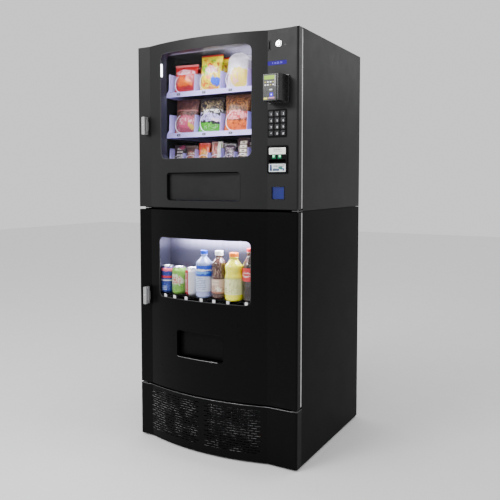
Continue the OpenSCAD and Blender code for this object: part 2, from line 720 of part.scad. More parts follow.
// Coin acceptor behind the slot, drop tube, and the hollow cup behind the coin flap
module coin_mech() {
    color([0.16, 0.16, 0.17]) {
        difference() {
            box([control_x - 46, 22, coin_slot_z - 130], [control_x + 40, 96, coin_slot_z + 24]);
            box([control_x - 36, 20, coin_slot_z - 15], [control_x - 32, 70, coin_slot_z + 15]);
        }
        difference() {
            box([control_x - 44, 2.2, coin_slot_z - 20], [control_x - 24, 22.5, coin_slot_z + 20]);
            box([control_x - 36, 1, coin_slot_z - 15], [control_x - 32, 24, coin_slot_z + 15]);
        }
        difference() {
            box([control_x + 52, 30, cup_z - 16], [control_x + 66, 66, coin_slot_z - 110]);
            box([control_x + 54, 32, cup_z - 14], [control_x + 64, 64, coin_slot_z - 108]);
            box([control_x + 48, 34, cup_z - 12], [control_x + 56, 62, cup_z + 20]);
        }
        difference() {
            box([control_x - 27, 1.7, cup_z - 30], [control_x + 37, 66, cup_z + 30]);
            box([control_x - 23, 0, cup_z - 26], [control_x + 33, 62, cup_z + 26]);
            box([control_x + 30, 36, cup_z - 10], [control_x + 38, 60, cup_z + 18]);
            translate([control_x + 5, 6, cup_z + 22.5]) rotate([0, 90, 0])
                cylinder(r = 2 + bore_gap, h = 62, center = true, $fn = 36);
        }
        box([control_x + 37.2, 30, cup_z - 16], [control_x + 51.8, 34, cup_z + 24]);
    }
}

module coin_button() {
    color([0.85, 0.86, 0.88]) translate([coin_button_x, 0, coin_button_z]) rotate([90, 0, 0]) {
        translate([0, 0, 1]) cylinder(r = 12.5, h = 1.5, $fn = 64);
        translate([0, 0, 2.4]) cylinder(r1 = 12, r2 = 9, h = 4, $fn = 64);
        translate([0, 0, -14]) cylinder(r = 8, h = 16, $fn = 48);
    }
}

module coin_flap() {
    z1 = cup_z + 22.5;
    color([0.12, 0.2, 0.55]) {
        along_y(4.6, 7.4) rounded_at([control_x + 5, (cup_z - 24 + z1) / 2], [54, z1 - cup_z + 24], 2.5);
        translate([control_x - 22, 6, z1]) rotate([0, 90, 0]) cylinder(r = 3, h = 54, $fn = 36);
        translate([control_x - 26, 6, z1]) rotate([0, 90, 0]) cylinder(r = 2, h = 62, $fn = 36);
    }
}

module snack_flap() { color([0.06, 0.06, 0.065]) flap(snack_port_c, snack_port_s); }

// Lock case: a plate on the door front and the sleeve that the handle's stem turns in
module lock_case(z) {
    color([0.06, 0.06, 0.065]) translate([handle_x, 0, z]) difference() {
        union() {
            along_y(-3, -0.05) rounded([26, 90], 5);
            translate([0, -1, 0]) rotate([-90, 0, 0]) cylinder(r = 8.8, h = 18, $fn = 48);
        }
        translate([0, -4, 0]) rotate([-90, 0, 0]) cylinder(r = 6 + bore_gap, h = 30, $fn = 48);
    }
}

// Handle bar on its stem, with the key cylinder in the middle and the latch cam at the rear
module lock_handle(z) {
    color([0.78, 0.79, 0.8]) translate([handle_x, 0, z]) {
        difference() {
            union() {
                along_y(-34, -8) rounded([16.5, 78], 3);
                along_y(-8.5, -4) rounded([16, 40], 3);
                translate([0, -5, 0]) rotate([-90, 0, 0]) cylinder(r = 6, h = 28, $fn = 48);
                along_y(18.5, 22) hull() {
                    circle(r = 9, $fn = 32);
                    translate([0, 22]) circle(r = 5, $fn = 32);
                }
            }
            translate([0, -35, key_core_z]) rotate([-90, 0, 0]) cylinder(r = 6, h = 4, $fn = 48);
            // finger scoops down both sides of the bar
            for (sx = [-1, 1]) translate([sx * 11, -20, -26]) cylinder(r = 5, h = 52, $fn = 36);
        }
        difference() {
            translate([0, -34.5, key_core_z]) rotate([-90, 0, 0]) cylinder(r = 5.4, h = 4, $fn = 48);
            along_y(-36, -33) translate([0, key_core_z]) square([1.6, 7], center = true);
        }
    }
}

module upper_lock() { lock_case(upper_handle_z); }

module upper_handle() { lock_handle(upper_handle_z); }

// ---------- drink door ----------

module lower_door_skin() {
    color([0.05, 0.05, 0.055]) {
        difference() {
            door_skin(lower_door_z0, lower_door_z1);
            along_y(-bow_sag - 5, 12) {
                rounded_at(lower_window_c, lower_window_s, 25);
                rounded_at(drink_port_c, drink_port_s, 12);
            }
            lock_hole(lower_handle_z);
        }
        port_sleeve(drink_port_c, drink_port_s, 12);
    }
}

shelf_z = lower_door_z1 - 375.5;
case_x0 = lower_window_c[0] - lower_window_s[0] / 2 - 18;
case_x1 = lower_window_c[0] + lower_window_s[0] / 2 + 18;
case_z0 = shelf_z - 14;
case_z1 = lower_window_c[1] + lower_window_s[1] / 2 + 22;
case_y = 88;

module lower_door_liner() {
    color([0.8, 0.81, 0.83]) {
        difference() {
            liner_plate(lower_door_z0, lower_door_z1);
            along_y(liner_y - 1, door_t + 1) {
                translate([case_x0 - 0.5, case_z0 - 0.5])
                    square([case_x1 - case_x0 + 1, case_z1 - case_z0 + 1]);
                rounded_at(drink_port_c, drink_port_s, 12);
            }
        }
        landing(drink_port_c, drink_port_s);
        flap_ears(drink_port_c, drink_port_s, drink_port_c[1] + drink_port_s[1] / 2 - flap_drop, flap_pin_y);
    }
    gasket(lower_door_z0, lower_door_z1);
}

module lower_window() { color([0.75, 0.8, 0.85, 0.25]) window(lower_window_c, lower_window_s); }

tag_x = [-254, -196, -128, -46, 18, 84, 166];

// Lit display case behind the window: shelf, walls, lamp, and a price tag clip for each selection
module display_shelf() {
    t = 2;
    g = 0.1;
    color([0.8, 0.8, 0.88]) {
        intersection() {
            front_block(shelf_z - 3, shelf_z, sheet + window_t + 9, case_y - t - g);
            box([case_x0 + t + g, -bow_sag, 0], [case_x1 - t - g, case_y, machine_h]);
        }
        intersection() {
            front_block(case_z1 - t, case_z1, sheet + window_t + 4, case_y - t - g);
            box([case_x0 + t + g, -bow_sag, 0], [case_x1 - t - g, case_y, machine_h]);
        }
        for (x = [case_x0, case_x1 - t]) box([x, 8, case_z0], [x + t, case_y, case_z1]);
        box([case_x0 + t + g, case_y - t, case_z0], [case_x1 - t - g, case_y, case_z1]);
    }
    color([1, 1, 1]) {
        translate([case_x0 + 20, 30, case_z1 - 12]) rotate([0, 90, 0])
            cylinder(r = 7, h = case_x1 - case_x0 - 40, $fn = 36);
        for (x = tag_x) translate([x, bow_y(x) + 13, shelf_z - 16]) cube([13, 2, 15]);
    }
}

module drink_flap() { color([0.06, 0.06, 0.065]) flap(drink_port_c, drink_port_s); }

module lower_lock() { lock_case(lower_handle_z); }

module lower_handle() { lock_handle(lower_handle_z); }

// ---------- output ----------

module machine() {
    lower_cabinet();
    cold_liner();
    base_grille();
    leveling_feet();
    compressor();
    heat_exchangers();
    condenser_fan();
    drink_columns();
    upper_cabinet();
    snack_trays();
    coil_motors();
    light_tubes();
    hinge_pins();
    for (k = [0:7]) snack_coil(k);
    for (k = [0:7]) candy_coil(k);
    upper_door_skin();
    upper_door_liner();
    upper_window();
    control_panel();
    card_reader();
    bill_validator();
    coin_mech();
    coin_button();
    coin_flap();
    snack_flap();
    upper_lock();
    upper_handle();
    for (k = [0:11]) key(k);
    lower_door_skin();
    lower_door_liner();
    lower_window();
    display_shelf();
    drink_flap();
    lower_lock();
    lower_handle();
}

translate([0, front_y, 0]) machine();
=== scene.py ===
"""Looks for the snack vending machine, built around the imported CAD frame.

CAD nodes get their finishes and keep their shapes; coil wire is drawn again in smooth round section;
the stock, price tags, key digits, labels, lamps, beads and screws are added and ride on the bodies they
belong to.
"""

import math
import random

import bmesh
import bpy
from mathutils import Matrix, Vector


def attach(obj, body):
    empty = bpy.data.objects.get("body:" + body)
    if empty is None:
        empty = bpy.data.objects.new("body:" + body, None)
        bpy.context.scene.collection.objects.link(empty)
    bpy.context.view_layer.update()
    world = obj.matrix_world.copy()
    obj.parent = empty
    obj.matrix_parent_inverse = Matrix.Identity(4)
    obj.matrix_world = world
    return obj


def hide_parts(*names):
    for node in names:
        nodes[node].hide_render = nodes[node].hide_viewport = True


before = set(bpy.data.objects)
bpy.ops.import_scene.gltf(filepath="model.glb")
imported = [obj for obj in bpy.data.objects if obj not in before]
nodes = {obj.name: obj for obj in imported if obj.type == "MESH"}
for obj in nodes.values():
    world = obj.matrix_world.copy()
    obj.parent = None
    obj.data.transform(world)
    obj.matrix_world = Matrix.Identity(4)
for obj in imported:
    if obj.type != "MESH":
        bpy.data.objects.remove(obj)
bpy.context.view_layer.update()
rng = random.Random(7)

# ---- sizes repeated from the part: x, y and z in millimetres, with y = 0 on the flat front ----
FRONT_Y = -0.316        # the flat front's y in the frame, in metres
TOP = 1778
BOW_CX, BOW_HALF, BOW_SAG = -32.5, 297.5, 45
BOW_R = (BOW_HALF ** 2 + BOW_SAG ** 2) / (2 * BOW_SAG)
SEAM = 1057
UP0, UP1 = 1062.5, 1774.5
LO0, LO1 = 254, 1051.5
# openings in the doors: centre x, centre z, width, height and corner radius
UP_WIN = (-28, UP1 - 273, 460, 458, 30)
LO_WIN = (-37.5, LO1 - 255, 471, 269, 25)
SNACK_PORT = (-34.5, UP0 + 91, 373, 121, 15)
DRINK_PORT = (-45, LO0 + 214, 240, 118, 12)
CX = 307              # middle of the control strip
DISPLAY_Z, READER_Z, KEYPAD_Z, VALIDATOR_Z, CUP_Z = 1643, 1538, 1405, 1262, 1128
# trays, their lanes and coils
TRAY_X0, LANE, TRAY_Y0 = -342, 140, 131
TRAY_Z = [SEAM + 508 - 187 * i + (30 if i == 2 else 0) for i in range(3)]
COIL_R, COIL_PITCH, COIL_WIRE = 46, 66, 2.2
CANDY_R, CANDY_PITCH, CANDY_WIRE = 27, 48, 1.7
COIL_Y0, COIL_Y1 = TRAY_Y0 + 24, TRAY_Y0 + 455 - 34
TRAY_FLOOR = 20.4       # stock stands this far above the foot of a tray's front
SHELF_Z = LO1 - 375.5   # top of the display shelf
TAG_X = (-254, -196, -128, -46, 18, 84, 166)


def bow(x):
    """The bowed front's y at x, both in millimetres."""
    d = abs(x - BOW_CX)
    return 0 if d >= BOW_HALF else BOW_R - BOW_SAG - math.sqrt(BOW_R ** 2 - d * d)


def P(x, y, z):
    """A point of the frame, in metres, from millimetres."""
    return Vector((x / 1000, FRONT_Y + y / 1000, z / 1000))


# ---- materials ----
def new_mat(name):
    m = bpy.data.materials.new(name)
    m.use_nodes = True
    return m, m.node_tree, m.node_tree.nodes["Principled BSDF"]


def fixed(bsdf, values):
    for socket, value in values.items():
        bsdf.inputs[socket].default_value = value


def link(tree, a, b):
    tree.links.new(a, b)


def coords(tree, kind="Object"):
    return tree.nodes.new("ShaderNodeTexCoord").outputs[kind]


def axes(tree, vec):
    n = tree.nodes.new("ShaderNodeSeparateXYZ")
    link(tree, vec, n.inputs[0])
    return n.outputs


def noise(tree, vec, scale, detail=3, rough=0.6):
    n = tree.nodes.new("ShaderNodeTexNoise")
    n.inputs["Scale"].default_value = scale
    n.inputs["Detail"].default_value = detail
    n.inputs["Roughness"].default_value = rough
    link(tree, vec, n.inputs["Vector"])
    return n.outputs["Fac"]


def remap(tree, value, a, b, c=0, d=1, smooth=False):
    """The range a to b carried over to c to d, and held at its ends."""
    n = tree.nodes.new("ShaderNodeMapRange")
    if smooth:
        n.interpolation_type = "SMOOTHSTEP"
    for i, v in enumerate((a, b, c, d)):
        n.inputs[i + 1].default_value = v
    link(tree, value, n.inputs[0])
    return n.outputs[0]


def mix(tree, fac, a, b):
    n = tree.nodes.new("ShaderNodeMix")
    n.data_type = "RGBA"
    link(tree, fac, n.inputs[0])
    for sock, v in ((n.inputs[6], a), (n.inputs[7], b)):
        if isinstance(v, (tuple, list)):
            sock.default_value = (*v[:3], 1)
        else:
            link(tree, v, sock)
    return n.outputs[2]


def math_node(tree, op, a, b=None, c=None):
    n = tree.nodes.new("ShaderNodeMath")
    n.operation = op
    for i, v in enumerate((a, b, c)):
        if v is None:
            continue
        if isinstance(v, (int, float)):
            n.inputs[i].default_value = v
        else:
            link(tree, v, n.inputs[i])
    return n.outputs[0]


def times(tree, a, b):
    return math_node(tree, "MULTIPLY", a, b)


def between(tree, value, lo, hi, soft):
    """1 between lo and hi, 0 outside, over a soft edge."""
    rise = remap(tree, value, lo - soft, lo + soft)
    fall = remap(tree, value, hi - soft, hi + soft, 1, 0)
    return times(tree, rise, fall)


def stretched(tree, vec, scale):
    n = tree.nodes.new("ShaderNodeMapping")
    n.inputs["Scale"].default_value = scale
    link(tree, vec, n.inputs["Vector"])
    return n.outputs[0]


def varied(tree, value, low, high):
    """From low to high over the middle of a noise, for colours or for plain numbers."""
    if isinstance(low, tuple):
        return mix(tree, remap(tree, value, 0.3, 0.7), low, high)
    return remap(tree, value, 0.3, 0.7, low, high)


def bump(tree, bsdf, height, strength, distance):
    n = tree.nodes.new("ShaderNodeBump")
    n.inputs["Strength"].default_value = strength
    n.inputs["Distance"].default_value = distance
    link(tree, height, n.inputs["Height"])
    link(tree, n.outputs[0], bsdf.inputs["Normal"])


def surface(name, color, rough=0.45, metal=0, spec=0.5, coat=0, grain=0, grain_scale=700, vary=0.15,
            rough_vary=0.08, cloud=6, emit=None, emit_strength=0):
    """A moulded or painted finish: slow colour and gloss variation, and a fine grain in the bump."""
    m, t, b = new_mat(name)
    vec = coords(t)
    slow = noise(t, vec, cloud)
    dark = tuple(c * (1 - vary) for c in color)
    light = tuple(min(1, c * (1 + vary)) for c in color)
    link(t, varied(t, slow, dark, light), b.inputs["Base Color"])
    fine = noise(t, vec, cloud * 9, 4, 0.6)
    link(t, varied(t, fine, max(0.02, rough - rough_vary), min(1, rough + rough_vary)),
        b.inputs["Roughness"])
    fixed(b, {"Metallic": metal, "Specular IOR Level": spec, "Coat Weight": coat})
    if coat:
        b.inputs["Coat Roughness"].default_value = 0.08
    if grain:
        bump(t, b, noise(t, vec, grain_scale, 2, 0.5), grain, 0.0004)
    if emit:
        b.inputs["Emission Color"].default_value = (*emit, 1)
        b.inputs["Emission Strength"].default_value = emit_strength
    return m


def brushed(name, color, rough=0.3, stretch=(1, 1, 60), metal=1):
    """Brushed or cast metal: fine streaks along one way."""
    m, t, b = new_mat(name)
    streak = noise(t, stretched(t, coords(t), stretch), 90)
    link(t, varied(t, streak, tuple(c * 0.8 for c in color), color), b.inputs["Base Color"])
    link(t, varied(t, streak, rough - 0.07, rough + 0.1), b.inputs["Roughness"])
    fixed(b, {"Metallic": metal})
    bump(t, b, streak, 0.12, 0.0003)
    return m


def glowing(name, color, strength, base=(0.9, 0.9, 0.95)):
    """A lit diffuser, a little uneven along its length."""
    m, t, b = new_mat(name)
    f = noise(t, coords(t), 25, 2, 0.5)
    link(t, varied(t, f, tuple(c * 0.85 for c in color), color), b.inputs["Emission Color"])
    fixed(b, {"Base Color": (*base, 1), "Roughness": 0.4, "Emission Strength": strength,
        "Specular IOR Level": 0.08})
    return m


def clear(name, tint=(0.9, 0.95, 1), alpha=0.1, rough=0.03):
    m, t, b = new_mat(name)
    f = noise(t, coords(t), 7)
    link(t, varied(t, f, tuple(c * 0.96 for c in tint), tint), b.inputs["Base Color"])
    link(t, varied(t, noise(t, coords(t), 60, 4, 0.7), rough, rough + 0.04), b.inputs["Roughness"])
    fixed(b, {"Alpha": alpha, "Specular IOR Level": 0.5})
    m.surface_render_method = "BLENDED"
    return m


def art(name, base, layers, rough=0.28, metal=0, coat=0.4, crinkle=0.5):
    """Printed film or label: a base colour under soft-edged layers, laid out over the piece's box.

    x and z run from 0 to 1 over the box, and c is the layer's colour:
    ("band", z0, z1, c, wave)                    a stripe across
    ("blob", cx, cz, rx, rz, c, wave)            an uneven oval
    ("box", x0, x1, z0, z1, c)                   a rectangle
    ("lines", scale, width, c, x0, x1, z0, z1)   thin curls
    ("rows", count, share, c, x0, x1, z0, z1)    broken rows, like print seen from afar
    ("speck", scale, size, c, z0, z1)            round dots
    """
    m, t, b = new_mat(name)
    gen = coords(t, "Generated")
    wob = noise(t, gen, 7)
    wobble = times(t, math_node(t, "SUBTRACT", wob, 0.5), 0.16)
    gx, _, gz = axes(t, gen)

    def patch(x0, x1, z0, z1, soft):
        return times(t, between(t, gx, x0, x1, soft), between(t, gz, z0, z1, soft))

    colour = base
    for kind, *layer in layers:
        if kind == "band":
            z0, z1, c, wave = layer
            z = math_node(t, "ADD", gz, times(t, wobble, wave))
            fac = between(t, z, z0, z1, 0.006)
        elif kind == "blob":
            cx, cz, rx, rz, c, wave = layer
            x = math_node(t, "ADD", gx, times(t, wobble, wave))
            z = math_node(t, "SUBTRACT", gz, times(t, wobble, wave))
            dx = math_node(t, "DIVIDE", math_node(t, "SUBTRACT", x, cx), rx)
            dz = math_node(t, "DIVIDE", math_node(t, "SUBTRACT", z, cz), rz)
            d = math_node(t, "ADD", times(t, dx, dx), times(t, dz, dz))
            fac = remap(t, d, 0.9, 1.1, 1, 0)
        elif kind == "box":
            x0, x1, z0, z1, c = layer
            fac = patch(x0, x1, z0, z1, 0.008)
        elif kind == "lines":
            scale, width, c, x0, x1, z0, z1 = layer
            near = math_node(t, "ABSOLUTE", math_node(t, "SUBTRACT", noise(t, gen, scale, 1, 0.5), 0.5))
            curl = remap(t, near, width * 0.6, width, 1, 0)
            fac = times(t, curl, patch(x0, x1, z0, z1, 0.01))
        elif kind == "rows":
            count, share, c, x0, x1, z0, z1 = layer
            saw = math_node(t, "FRACT", times(t, gz, count))
            breaks = noise(t, stretched(t, gen, (34, 1, count * 0.5)), 1, 1, 0.5)
            row = remap(t, saw, share - 0.06, share + 0.06, 1, 0)
            row = times(t, row, remap(t, breaks, 0.42, 0.5))
            fac = times(t, row, patch(x0, x1, z0, z1, 0.01))
        else:
            scale, size, c, z0, z1 = layer
            v = t.nodes.new("ShaderNodeTexVoronoi")
            v.inputs["Scale"].default_value = scale
            link(t, gen, v.inputs["Vector"])
            spot = remap(t, v.outputs["Distance"], size - 0.04, size + 0.04, 1, 0)
            fac = times(t, spot, between(t, gz, z0, z1, 0.03))
        colour = mix(t, fac, colour, c)
    fine = noise(t, gen, 30)
    shade = mix(t, remap(t, fine, 0.35, 0.7, 0, 0.3), colour, (0.01, 0.01, 0.01))
    link(t, shade, b.inputs["Base Color"])
    link(t, varied(t, fine, rough - 0.05, rough + 0.12), b.inputs["Roughness"])
    fixed(b, {"Metallic": metal, "Coat Weight": coat, "Coat Roughness": 0.12})
    if crinkle:
        bump(t, b, noise(t, coords(t), 60), crinkle, 0.0015)
    return m


# painted light: one black door paint in two copies, the upper one lighter as painted sheen and the lower
# one darker as painted shade
BLACK_UP_LIT = surface("door_paint_upper_lit", (0.01, 0.01, 0.0105), rough=0.42, spec=0.16, grain=0.22,
    grain_scale=1100, vary=0.05, cloud=2, rough_vary=0.03)
BLACK_LO_SHADED = surface("door_paint_lower_shaded", (0.0025, 0.0025, 0.0027), rough=0.3, spec=0.05, grain=0.15,
    grain_scale=1100, vary=0.05, cloud=2, rough_vary=0.03)
# painted light: one case paint in two copies, the upper one lighter as painted sheen and the lower one
# darker as painted shade
CASE_UP_LIT = surface("case_paint_upper_lit", (0.013, 0.013, 0.0134), rough=0.45, spec=0.08, grain=0.25,
    grain_scale=1000, vary=0.05, cloud=1.5, rough_vary=0.02)
CASE_LO_SHADED = surface("case_paint_lower_shaded", (0.0042, 0.0042, 0.0044), rough=0.4, spec=0.02, grain=0.25,
    grain_scale=1000, vary=0.05, cloud=1.5, rough_vary=0.02)
BASE_PAINT = surface("base_paint", (0.0026, 0.0026, 0.0028), rough=0.34, spec=0.05, grain=0.15,
    grain_scale=1000, vary=0.05, rough_vary=0.03)
INNER_DARK = surface("inner_paint", (0.012, 0.012, 0.022), rough=0.5, spec=0.12, grain=0.15)
INNER_PALE = surface("inner_pale", (0.62, 0.63, 0.66), rough=0.4, grain=0.1)
LINER = surface("cold_box_liner", (0.74, 0.75, 0.77), rough=0.35, grain=0.1, grain_scale=300)
GASKET = surface("gasket_vinyl", (0.62, 0.62, 0.63), rough=0.55, grain=0.3, grain_scale=260)
RUBBER = surface("window_rubber", (0.012, 0.012, 0.012), rough=0.6, grain=0.25, grain_scale=500)
PLASTIC = surface("black_plastic", (0.004, 0.004, 0.0045), rough=0.28, spec=0.25, grain=0.12,
    grain_scale=900)
# painted light: one flap plastic in two copies, the upper one lighter as painted sheen and the lower one
# darker as painted shade
PLASTIC_FLAP = surface("flap_plastic", (0.01, 0.01, 0.0105), rough=0.36, spec=0.2, grain=0.2,
    grain_scale=900)
PLASTIC_FLAP_SHADED = surface("flap_plastic_low_shaded", (0.0025, 0.0025, 0.0027), rough=0.3, spec=0.06, grain=0.2,
    grain_scale=900)
BEZEL = surface("bezel_black", (0.003, 0.003, 0.0032), rough=0.42, spec=0.05, grain=0.12, grain_scale=900)
READER = surface("reader_plastic", (0.012, 0.0115, 0.0125), rough=0.26, spec=0.45, grain=0.15,
    grain_scale=900)
MECH = surface("mech_plastic", (0.06, 0.06, 0.065), rough=0.5, grain=0.3)
TRAY = surface("tray_paint", (0.46, 0.41, 0.84), rough=0.38, grain=0.1, vary=0.04)
MOTOR = surface("motor_plastic", (0.66, 0.65, 0.6), rough=0.45, grain=0.2)


def lamp_lit_sheet(name, low, high, z0, z1, x0, x1):
    """Brushed sheet with painted lamp light: it slowly gets lighter from z0 up to z1, and from x0 along to
    x1, in mm.
    """
    m, t, b = new_mat(name)
    vec = coords(t)
    x, _, z = axes(t, vec)
    up = remap(t, z, z0 / 1000, z1 / 1000, smooth=True)
    along = remap(t, x, x0 / 1000, x1 / 1000, 0.35, 1, smooth=True)
    streak = noise(t, stretched(t, vec, (1, 1, 0.03)), 60)
    base = mix(t, times(t, up, along), low, high)
    dark = tuple(c * 0.4 for c in low)
    link(t, mix(t, remap(t, streak, 0.3, 0.7, 0, 0.25), base, dark), b.inputs["Base Color"])
    link(t, varied(t, streak, 0.3, 0.46), b.inputs["Roughness"])
    fixed(b, {"Metallic": 0.1})
    bump(t, b, streak, 0.1, 0.0003)
    return m


def glint_patches(name, dark, bright, scale, low, high):
    """Painted highlight: bright patches over dark paint, standing in for glints of light on the slot edges.
    """
    m, t, b = new_mat(name)
    vec = coords(t)
    patch = remap(t, noise(t, vec, scale, 2, 0.6), low, high)
    link(t, mix(t, patch, dark, bright), b.inputs["Base Color"])
    link(t, varied(t, noise(t, vec, 90), 0.3, 0.45), b.inputs["Roughness"])
    fixed(b, {"Specular IOR Level": 0.3})
    return m


def lit_corner(name, dark, pale, u0, u1):
    """Inner ceiling paint: dark on the left, going to a pale wash where the lamp light falls."""
    m, t, b = new_mat(name)
    vec = coords(t)
    x, y, _ = axes(t, vec)
    u = math_node(t, "ADD", x, times(t, y, 0.57))
    fac = remap(t, u, u0 / 1000, u1 / 1000, smooth=True)
    patchy = remap(t, noise(t, vec, 9), 0.3, 0.7, 0.75, 1)
    link(t, mix(t, times(t, fac, patchy), dark, pale), b.inputs["Base Color"])
    link(t, varied(t, noise(t, vec, 40), 0.4, 0.5), b.inputs["Roughness"])
    fixed(b, {"Specular IOR Level": 0.1})
    return m


WIRE = surface("coil_coating", (0.8, 0.78, 0.9), rough=0.3, spec=0.6, vary=0.05, coat=0.3)
BLUE = surface("coin_flap_blue", (0.009, 0.016, 0.125), rough=0.36, spec=0.25, grain=0.15, vary=0.2,
    cloud=14)
# painted light: the drink shelf's back sheet is lighter towards the lamps at the top and on the right
DISPLAY_BACK = lamp_lit_sheet("display_sheet", (0.026, 0.026, 0.044), (0.36, 0.35, 0.52), 855, 930, -290, -40)
CEILING = lit_corner("inner_ceiling", (0.012, 0.012, 0.018), (0.075, 0.07, 0.12), -170, -60)
SLOT_GLINT = glint_patches("slot_glint_edge", (0.004, 0.004, 0.004), (0.55, 0.55, 0.56), 14, 0.48, 0.62)
SHELF_EDGE = surface("shelf_edge", (0.003, 0.003, 0.003), rough=0.5, spec=0.03, grain=0.1)
LAMP = glowing("lamp_tube", (0.8, 0.6, 0.8), 0.1, (0.03, 0.03, 0.04))
LAMP_SIDE = glowing("lamp_tube_side", (0.95, 0.93, 1), 12)
LAMP_LOW = glowing("lamp_tube_low", (0.95, 0.93, 1), 5)
CHROME = brushed("bright_chrome", (0.86, 0.87, 0.89), rough=0.14)
LOCK = brushed("cast_lock", (0.34, 0.34, 0.345), rough=0.42, stretch=(30, 1, 8), metal=0.3)
KEY = brushed("key_metal", (0.035, 0.035, 0.037), rough=0.3, stretch=(40, 1, 1))
ZINC = brushed("zinc_plate", (0.6, 0.61, 0.63), rough=0.35)
DARK_STEEL = brushed("dark_steel", (0.12, 0.12, 0.125), rough=0.35)
FINS = brushed("fin_stock", (0.66, 0.67, 0.69), rough=0.35, stretch=(60, 1, 1))
COPPER = brushed("copper_tube", (0.72, 0.35, 0.2), rough=0.3)
COLUMN = brushed("column_sheet", (0.7, 0.71, 0.73), rough=0.4, stretch=(1, 40, 1))
COMPRESSOR = surface("compressor_enamel", (0.014, 0.014, 0.015), rough=0.2, coat=0.5, vary=0.1)
FAN = surface("fan_plastic", (0.03, 0.03, 0.033), rough=0.42, grain=0.2)
WINDOW = clear("window_clear", tint=(0.012, 0.013, 0.016), alpha=0.05)
# painted light: the white clips glow a little, though they hold no lamp
CLIP_GLOWING = surface("price_clip_glowing", (0.9, 0.9, 0.92), rough=0.3, vary=0.03, emit=(0.9, 0.9, 1), emit_strength=0.25)
WHITE_INK = surface("ink_white", (0.75, 0.76, 0.78), rough=0.5)
# pale key digits, which also serve as painted glints
KEY_INK_GLINT = surface("ink_key", (0.85, 0.86, 0.88), rough=0.35)
DARK_INK = surface("ink_dark", (0.02, 0.02, 0.03), rough=0.5)
LCD_BLUE = glowing("lcd_blue", (0.08, 0, 1), 0.36, (0.002, 0, 0.03))
LCD_INK = glowing("lcd_ink", (0.3, 0.25, 1), 0.9, (0.1, 0.1, 0.5))
LCD_LIME = glowing("lcd_lime", (0.42, 0.8, 0.06), 0.45, (0.25, 0.4, 0.06))
GREEN_DEEP = surface("lens_green", (0, 0.1, 0.04), rough=0.25, spec=0.3, emit=(0, 0.4, 0.15),
    emit_strength=0.12)
GREEN_LAMP = glowing("lamp_green", (0.35, 1, 0.55), 1.6, (0.1, 0.4, 0.2))
BLUE_LAMP = glowing("lamp_blue", (0.06, 0.01, 1), 1.3, (0.02, 0, 0.3))


# ---- CAD nodes: finishes, by solid where one node holds several materials ----
def finish(name, default, *rules):
    """Gives a CAD node its material; a rule is (material, test of a face's centre), the last one wins."""
    o = nodes[name]
    o.data.materials.clear()
    o.data.materials.append(default)
    for m, _ in rules:
        o.data.materials.append(m)
    for p in o.data.polygons:
        c = p.center
        x, y, z = c.x * 1000, (c.y - FRONT_Y) * 1000, c.z * 1000
        p.material_index = 0
        for i, (_, test) in enumerate(rules):
            if test(x, y, z):
                p.material_index = i + 1


def inside_case(x, y):
    return abs(x) < 398.4 and y > 47.6 and y < 698.4


def on_key_core(x, y, z, core_z):
    return y < -32.4 and math.hypot(x + 345, z - core_z) < 6.1


PLAIN = {
    "cold_liner": LINER, "base_grille": BASE_PAINT, "leveling_feet": ZINC, "condenser_fan": FAN,
    "snack_trays": TRAY, "hinge_pins": DARK_STEEL, "upper_door_skin": BLACK_UP_LIT, "upper_window": WINDOW,
    "card_reader": READER, "bill_validator": BEZEL, "coin_mech": MECH, "coin_button": CHROME,
    "coin_flap": BLUE, "snack_flap": PLASTIC_FLAP, "upper_lock": BLACK_UP_LIT, "lower_door_skin": BLACK_LO_SHADED,
    "lower_window": WINDOW, "drink_flap": PLASTIC_FLAP_SHADED, "lower_lock": BLACK_LO_SHADED,
}
for node, material in PLAIN.items():
    finish(node, material)
finish("lower_cabinet", CASE_LO_SHADED,
       (INNER_DARK, lambda x, y, z: inside_case(x, y) and 20 < z < 1053),
       (PLASTIC, lambda x, y, z: 225 < x < 263 and y > 675 and 90 < z < 130))       # power inlet
finish("upper_cabinet", CASE_UP_LIT,
       (INNER_DARK, lambda x, y, z: inside_case(x, y) and SEAM + 1.4 < z < TOP - 1.4),
       (CEILING, lambda x, y, z: inside_case(x, y) and TOP - 8 < z < TOP - 0.8))
# painted highlight: the lower edge of each slot is painted bright in places, as glints
grille = nodes["base_grille"].data
grille.materials.append(SLOT_GLINT)
for p in grille.polygons:
    small_and_upward = p.normal.z > 0.5 and p.area < 0.0001
    if small_and_upward and 0.03 < p.center.z < 0.23:
        p.material_index = 1
finish("compressor", COMPRESSOR,
       (RUBBER, lambda x, y, z: z < 26.5 and y > 390),
       (COPPER, lambda x, y, z: z > 130 and y > 490 and abs(abs(x + 190) - 30) < 6))
finish("heat_exchangers", FINS,
       (DARK_STEEL, lambda x, y, z: z < 235 and 199 < y < 300),
       (COPPER, lambda x, y, z: (abs(y - 132) < 4.5 and abs(x - 90) > 166
                                 or abs(y - 630) < 4.5 and abs(x) > 281)))
finish("drink_columns", COLUMN, (MOTOR, lambda x, y, z: 529 < z < 609 and y < 599))
finish("coil_motors", MOTOR, (ZINC, lambda x, y, z: y < 567))
finish("light_tubes", LAMP,
       (LAMP_SIDE, lambda x, y, z: x < -360),
       (DARK_STEEL, lambda x, y, z: z > 1760.5 or x < -379))
finish("upper_door_liner", INNER_DARK, (GASKET, lambda x, y, z: y > 34.02))
finish("control_panel", BEZEL, (LCD_BLUE, lambda x, y, z: z > 1600))
finish("upper_handle", LOCK, (CHROME, lambda x, y, z: on_key_core(x, y, z, SEAM + 371)))
for n in nodes:
    if n.startswith("key_"):
        finish(n, KEY)
finish("lower_door_liner", INNER_PALE,
       (GASKET, lambda x, y, z: y > 34.02),
       (SHELF_EDGE, lambda x, y, z: y < 33.4))
